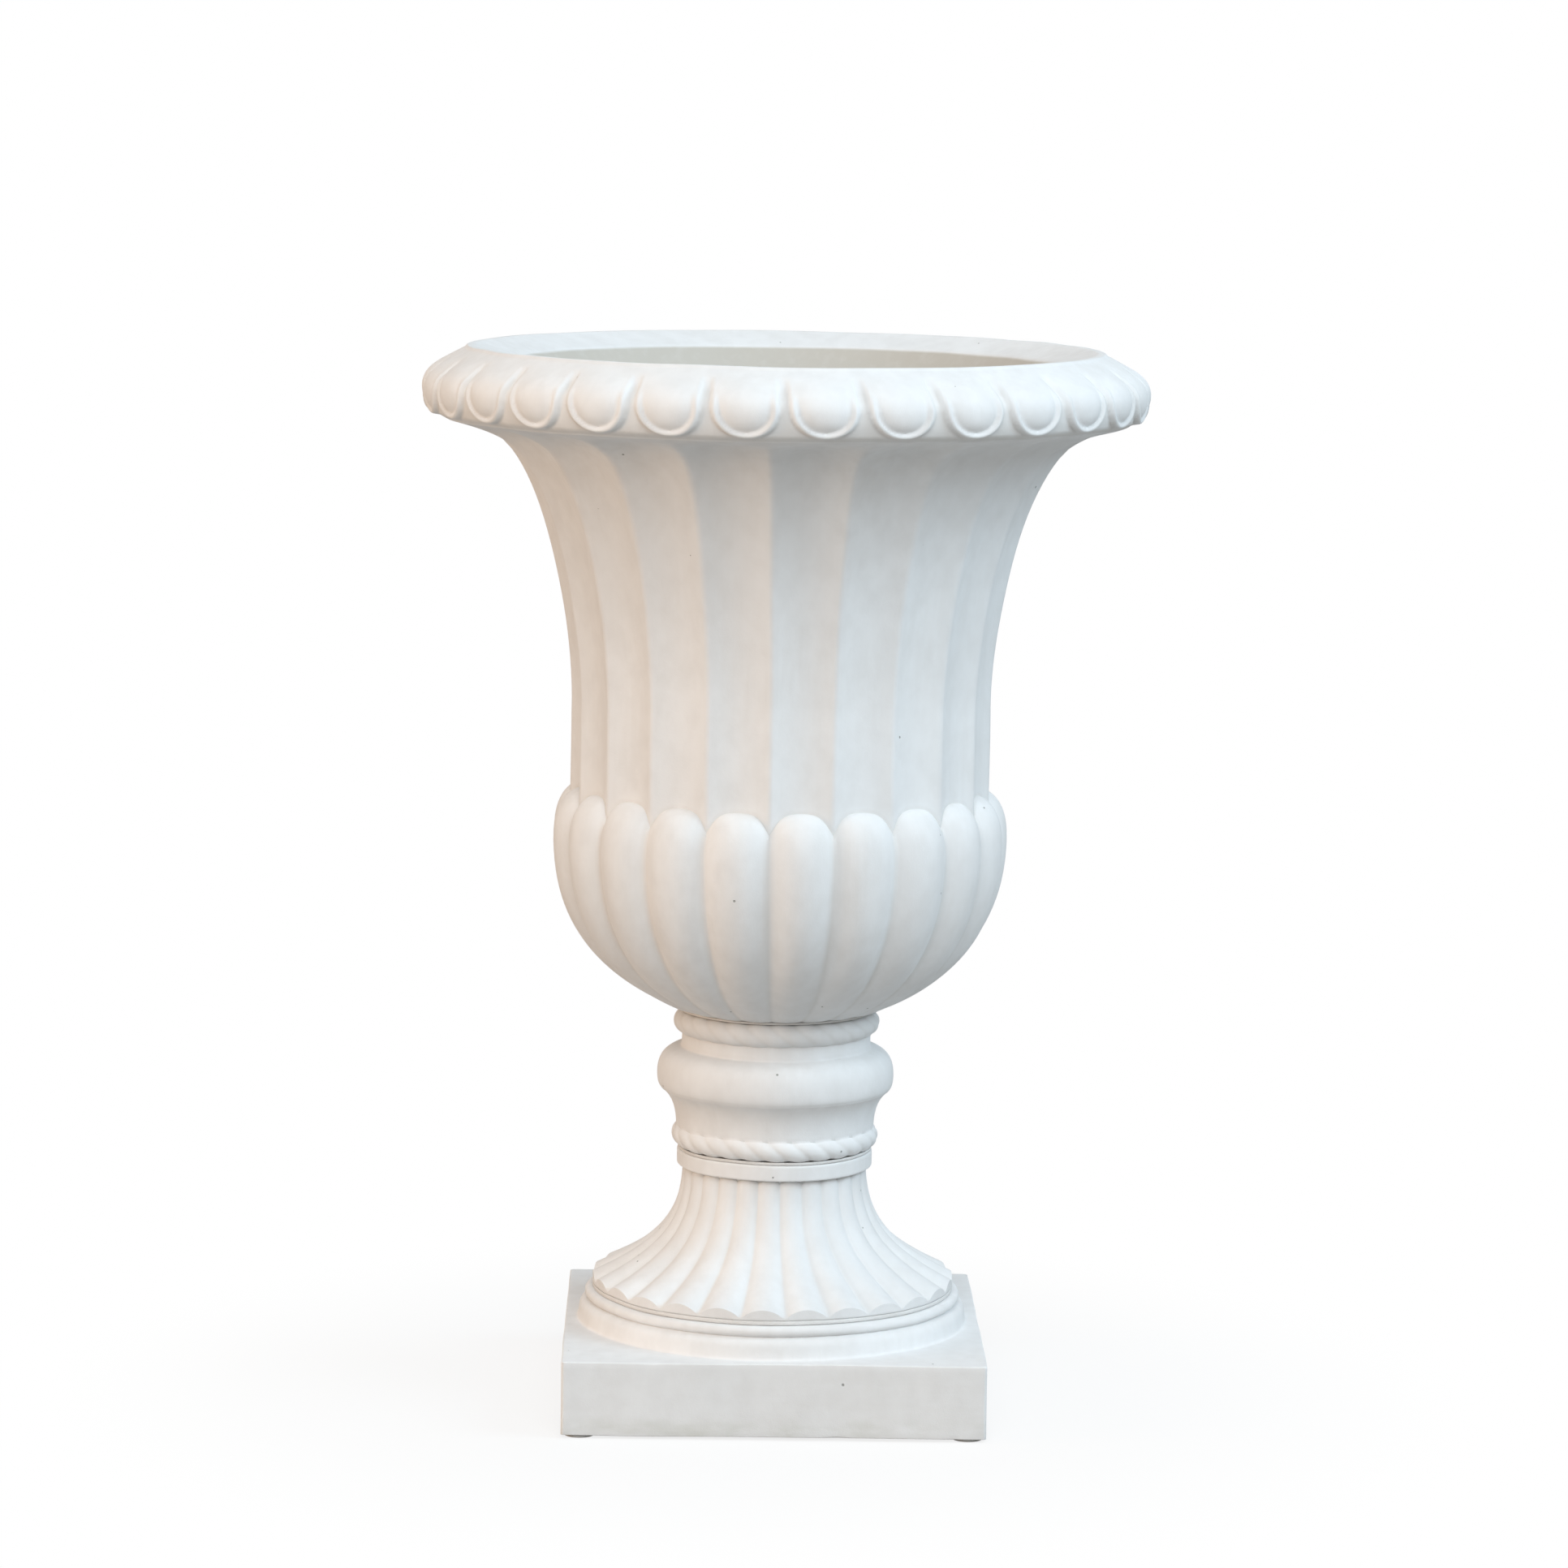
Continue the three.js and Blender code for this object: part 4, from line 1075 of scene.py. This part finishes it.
class Nodes:
    """The node tree of a material or the world, emptied first."""

    def __init__(self, owner):
        owner.use_nodes = True
        self.tree = owner.node_tree
        self.tree.nodes.clear()

    def add(self, kind, settings=None, sockets=None, out=0):
        """One node: its settings, then a value or a wire for each socket. Gives its output as a wire."""
        made = self.tree.nodes.new(kind)
        for name, value in (settings or {}).items():
            setattr(made, name, value)
        for name, value in (sockets or {}).items():
            if isinstance(value, Wire):
                self.tree.links.new(value.socket, made.inputs[name])
            else:
                made.inputs[name].default_value = value
        return Wire(self, made.outputs[out]) if len(made.outputs) else None

    def object_place(self, scale=(1, 1, 1)):
        """The place on the object, in metres, with each axis scaled."""
        place = self.add("ShaderNodeTexCoord", out="Object")
        return self.add("ShaderNodeMapping", None, {"Vector": place, "Scale": scale})

    def noise(self, scale, detail=3, stretch=(1, 1, 1), seed=0):
        """Noise from -1 to 1, with that many lumps in a metre. The seed is a fourth coordinate."""
        made = self.add("ShaderNodeTexNoise", {"noise_dimensions": "4D"}, {
            "Vector": self.object_place(stretch), "W": seed, "Scale": scale, "Detail": detail})
        return made * 2 - 1

    def step(self, wire, low, high):
        """0 below low and 1 above high, with an S-curve between them."""
        return self.add("ShaderNodeMapRange", {"interpolation_type": "SMOOTHSTEP"}, {
            "Value": wire, "From Min": low, "From Max": high})

    def blend(self, first, second, share):
        """A mix of two colours. Its sockets 0, 6 and 7 are the share and the colours, and 2 comes out."""
        return self.add("ShaderNodeMix", {"data_type": "RGBA"}, {0: share, 6: first, 7: second}, 2)

    def relief(self, height, strength=1.0):
        """The surface's direction where it stands out by the height, in millimetres."""
        return self.add("ShaderNodeBump", None, {"Height": height, "Distance": MM, "Strength": strength})

    def finish(self, sockets):
        """The Principled surface with those sockets, joined to the material's output."""
        surface = self.add("ShaderNodeBsdfPrincipled", None, sockets)
        self.add("ShaderNodeOutputMaterial", None, {"Surface": surface})


def light_of(red, green, blue):
    """A screen colour as light: ((c/255 + 0.055) / 1.055)^2.4 for each of the three."""
    return tuple(((c / 255 + 0.055) / 1.055)**2.4 for c in (red, green, blue)) + (1,)


def new_material(name):
    """An empty material and its nodes."""
    material = bpy.data.materials.new(name)
    return material, Nodes(material)


print("a screen grey of 128 is a light of", round(light_of(128, 128, 128)[0], 3))

# %% [markdown]
# ## Cast stone
#
# Reconstituted stone is fine marble grit in white cement. From nearby it is white with soft clouds
# and a fine mottle, with faint strokes where the slurry was brushed: upright ones on the turned
# castings and level ones on the block. It has a fine grain, and a few pinholes where air bubbles met
# the mould, each painted dark inside as painted shade. The deep parts of the carving are painted
# darker, as painted shade in the hollows together with the fine dust that stays there, and damp has
# left its tide marks on the foot of the plinth. The painted shade in the carving follows each point's
# recess. The rest comes from noise on the object's own coordinates, so neighbouring castings match
# like one pour.

# %% Cast stone
STONE_WHITE = light_of(232, 233, 234)
STONE_CLOUD = light_of(226, 227, 228)
STONE_MOTTLE = light_of(218, 218, 218)
STONE_STROKE = light_of(211, 209, 206)
# Colour of dust in the carving, which also paints the shade that falls in its recesses.
STONE_DUST_AND_SHADE = light_of(190, 186, 178)
STONE_DAMP = light_of(193, 194, 184)
# Painted shade: the dark colour inside each pinhole stands in for the shade that falls in it.
PIT_PAINTED_SHADE = light_of(96, 100, 92)
SHADE_AND_DUST_IN_A_RECESS = 0.2
DAMP_HEIGHTS = (6 * MM, 19 * MM)
DAMP_WANDER = 4 * MM


def pinholes(nodes, cells_per_metre, widest, share):
    """Round pits: the distance to the nearest point of a cell pattern is less than that cell's own
    radius, in a share of the cells. Gives 0 outside and 1 in the pit."""
    cells = {"Vector": nodes.object_place(), "Scale": cells_per_metre}
    distance = nodes.add("ShaderNodeTexVoronoi", None, cells, "Distance")
    luck = nodes.add("ShaderNodeSeparateColor", None, {
        0: nodes.add("ShaderNodeTexVoronoi", None, cells, "Color")})
    radius = nodes.step(luck, 1 - share, 1.0) * widest * cells_per_metre
    return nodes.step(radius - distance, 0, 0.25 * widest * cells_per_metre)


def brushed(nodes):
    """Strokes of the brush in patches: upright above the plinth's top, level on the block itself."""
    height = nodes.add("ShaderNodeSeparateXYZ", None, {0: nodes.object_place()}, "Z")
    above = nodes.step(height, PLINTH_TOP - 2 * MM, PLINTH_TOP + 2 * MM)
    upright = nodes.step(nodes.noise(170, 2, (1, 1, 0.07), 4), -0.7, 0.8)
    level = nodes.step(nodes.noise(120, 3, (0.14, 0.14, 1), 12), -0.7, 0.8)
    patches = nodes.step(nodes.noise(14, 3, seed=7), -0.4, 0.5)
    return (level + (upright - level) * above) * patches, height


def cast_stone():
    """White stone: cloud, mottle, stroke, dust with painted shade in the recesses, damp and painted pit
    shade colours over each other, then grain, lumps and pits as relief."""
    material, nodes = new_material("cast_stone_surface")
    recess = nodes.add("ShaderNodeAttribute", {"attribute_name": "recess"}, None, "Fac")
    strokes, height = brushed(nodes)
    cloud = nodes.step(nodes.noise(9, 5), -0.5, 0.6)
    mottle = nodes.step(nodes.noise(75, 3, (1, 1, 0.7), 13), -0.5, 0.7)
    grain = nodes.noise(900, 2, seed=2)
    lumps = nodes.noise(110, 4, seed=3)
    tide = 1 - nodes.step(height + DAMP_WANDER * nodes.noise(20, 4, seed=14), *DAMP_HEIGHTS)
    damp = tide * nodes.step(nodes.noise(30, 4, (1, 1, 2.2), 15), -0.25, 0.45)
    pits = pinholes(nodes, cells_per_metre=62, widest=1.1 * MM, share=0.35)
    colour = STONE_WHITE
    for tint, share in [
        (STONE_CLOUD, cloud),
        (STONE_MOTTLE, mottle * 0.62),
        (STONE_STROKE, strokes * 0.36),
        # painted shade with dust: the recesses of the carving are darkened
        (STONE_DUST_AND_SHADE, recess * (SHADE_AND_DUST_IN_A_RECESS + 0.05 * lumps)),
        (STONE_DAMP, damp * 0.5),
        # painted shade inside the pinholes
        (PIT_PAINTED_SHADE, pits * 0.65),
    ]:
        colour = nodes.blend(colour, tint, share)
    relief = nodes.relief(grain * 0.05 + lumps * 0.14 + strokes * 0.10 - pits * 0.6, 0.8)
    nodes.finish({"Base Color": colour, "Roughness": 0.82 + 0.07 * lumps, "Normal": relief})
    return material


STONE = cast_stone()
print("cast stone has", len(STONE.node_tree.nodes), "nodes")

# %% [markdown]
# ## Mortar, zinc and rubber
#
# The mortar is the same mix with more sand in it, so it is nearly the stone's colour, a little greyer
# and coarser. The steel is zinc plated: a metal with a slightly cloudy sheen. The rubber is pale grey
# and matte. None of them shows much from the front, but a viewer who lifts the bowl should find them
# right.

# %% Mortar, zinc and rubber
def mortar():
    material, nodes = new_material("mortar_surface")
    sand = nodes.noise(700, 3, seed=5)
    cloud = nodes.step(nodes.noise(40, 3, seed=6), -0.5, 0.5)
    colour = nodes.blend(light_of(226, 226, 225), light_of(214, 213, 211), cloud)
    nodes.finish({
        "Base Color": colour, "Roughness": 0.86 + 0.05 * sand, "Normal": nodes.relief(sand * 0.25)})
    return material


def zinc_steel():
    material, nodes = new_material("zinc_steel_surface")
    spangle = nodes.step(nodes.noise(130, 4, seed=8), -0.4, 0.5)
    scratches = nodes.noise(500, 2, (1, 1, 0.1), 9)
    colour = nodes.blend(light_of(206, 209, 212), light_of(184, 187, 188), spangle)
    roughness = 0.34 + 0.1 * spangle + 0.05 * scratches
    nodes.finish({"Base Color": colour, "Roughness": roughness, "Metallic": 1.0})
    return material


def rubber():
    material, nodes = new_material("rubber_surface")
    bloom = nodes.step(nodes.noise(60, 3, seed=10), -0.3, 0.6)
    grain = nodes.noise(1200, 2, seed=11)
    colour = nodes.blend(light_of(184, 184, 182), light_of(192, 192, 190), bloom)
    nodes.finish({
        "Base Color": colour, "Roughness": 0.72 + 0.08 * bloom, "Normal": nodes.relief(grain * 0.03)})
    return material


def finish_pieces(pieces, material):
    """Gives each piece that material, in place of any it had."""
    for piece in pieces:
        piece.data.materials.clear()
        piece.data.materials.append(material)


finish_pieces([bowl, stem, foot, plinth], STONE)
finish_pieces(beds, mortar())
finish_pieces(steel_pieces, zinc_steel())
finish_pieces([seal, *pads], rubber())
print("materials:", sorted(material.name for material in bpy.data.materials))

# %% [markdown]
# ## Light
#
# The photograph has the soft light of a studio: a large main lamp high in front, which leaves the
# rim's underside in shade, and a weak one overhead. A low warm lamp stands on the left and a high cool
# one on the right, and a weak warm light comes from all round. Large lamps make soft edges, and their
# strengths add up to a plain level on a surface that faces the camera.

# %% Light
LAMP_TARGET = Vector((0, 0, 0.4))


def soft_lamp(name, at, size, watts, tint):
    """A square lamp at a place, turned towards the middle of the urn."""
    data = bpy.data.lights.new(name, "AREA")
    data.shape = "SQUARE"
    data.size, data.energy, data.color = size, watts, tint
    lamp = add_object(name, data)
    lamp.location = at
    lamp.rotation_euler = (LAMP_TARGET - Vector(at)).to_track_quat("-Z", "Y").to_euler()
    return lamp


lamps = [
    soft_lamp("overhead", (0.0, 0.6, 5.2), 3.2, 12, (0.72, 0.89, 1.0)),
    soft_lamp("front_high", (0.0, -4.5, 3.95), 4.6, 203, (0.955, 0.985, 1.0)),
    soft_lamp("warm_left", (-4.8, -1.3, 0.7), 2.4, 116, (1.0, 0.63, 0.35)),
    soft_lamp("cool_right", (4.2, -1.2, 3.3), 2.4, 134, (0.64, 0.85, 1.0)),
]
print("lamps:", [(lamp.name, lamp.data.energy) for lamp in lamps])

# %% [markdown]
# ## Floor and background
#
# The background is plain white. Light Path tells a shader who is looking: for the camera, and for
# rays that a surface mirrors or lets through, the world is white, and for everything else it is a
# weak grey that fills the shadows. The floor does the same, but close to the urn a part of its real
# shade shows, so that the plinth stands on something.

# %% Floor and background
WHITE = (1, 1, 1, 1)
AMBIENT = 0.39
AMBIENT_TINT = (1.0, 0.975, 0.94, 1)
FLOOR_FOR_CAMERA = (0.85, 0.85, 0.85, 1)
FLOOR_FOR_BOUNCES = (0.37, 0.36, 0.345, 1)
FLOOR_WHITE_NEAR = 0.80
FLOOR_FADES = (0.16, 0.55)
FLOOR_CORNERS = [(-20, -20, 0), (20, -20, 0), (20, 20, 0), (-20, 20, 0)]


def seen_directly(nodes):
    """1 for camera, glossy and transmission rays, and 0 for all others."""
    path = nodes.add("ShaderNodeLightPath").socket.node
    camera_ray, glossy, through = (
        Wire(nodes, path.outputs[f"Is {ray} Ray"]) for ray in ("Camera", "Glossy", "Transmission"))
    return nodes.add("ShaderNodeClamp", None, {"Value": camera_ray + glossy + through})


def white_world():
    """White to whoever looks at it, and a weak warm light to everything else."""
    world = bpy.data.worlds.new("white_world")
    nodes = Nodes(world)
    seen = seen_directly(nodes)
    background = nodes.add("ShaderNodeBackground", None, {
        "Color": nodes.blend(AMBIENT_TINT, WHITE, seen), "Strength": AMBIENT + (1 - AMBIENT) * seen})
    nodes.add("ShaderNodeOutputWorld", None, {"Surface": background})
    return world


def pale_floor():
    """A floor whose white share is least at the foot of the urn and rises to all of it."""
    material, nodes = new_material("pale_floor")
    away = nodes.add("ShaderNodeVectorMath", {"operation": "LENGTH"}, {0: nodes.object_place()}, "Value")
    share = FLOOR_WHITE_NEAR + (1 - FLOOR_WHITE_NEAR) * nodes.step(away, *FLOOR_FADES)
    seen = seen_directly(nodes)
    colour = nodes.blend(FLOOR_FOR_BOUNCES, FLOOR_FOR_CAMERA, seen)
    plain = nodes.add("ShaderNodeBsdfDiffuse", None, {"Color": colour})
    white = nodes.add("ShaderNodeEmission", None, {"Color": WHITE})
    surface = nodes.add("ShaderNodeMixShader", None, {0: share * seen, 1: plain, 2: white})
    nodes.add("ShaderNodeOutputMaterial", None, {"Surface": surface})
    return material


floor_mesh = bpy.data.meshes.new("floor")
floor_mesh.from_pydata(FLOOR_CORNERS, [], [(0, 1, 2, 3)])
floor = add_object("floor", floor_mesh)
floor.data.materials.append(pale_floor())
floor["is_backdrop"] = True
bpy.context.scene.world = white_world()
bpy.context.scene.view_settings.view_transform = "Standard"
print("floor and world are set")

# %% [markdown]
# ## Size
#
# Last comes the proof that the dressed urn still fits the CAD model: the box round all pieces now,
# beside the box that was measured before anything was added.

# %% Size
scene_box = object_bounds()
boxes = {"cad": [list(corner) for corner in cad_box], "scene": [list(corner) for corner in scene_box]}
largest = np.abs(np.subtract(boxes["cad"], boxes["scene"])).max()
print("largest difference, mm:", round(float(largest / MM), 3))
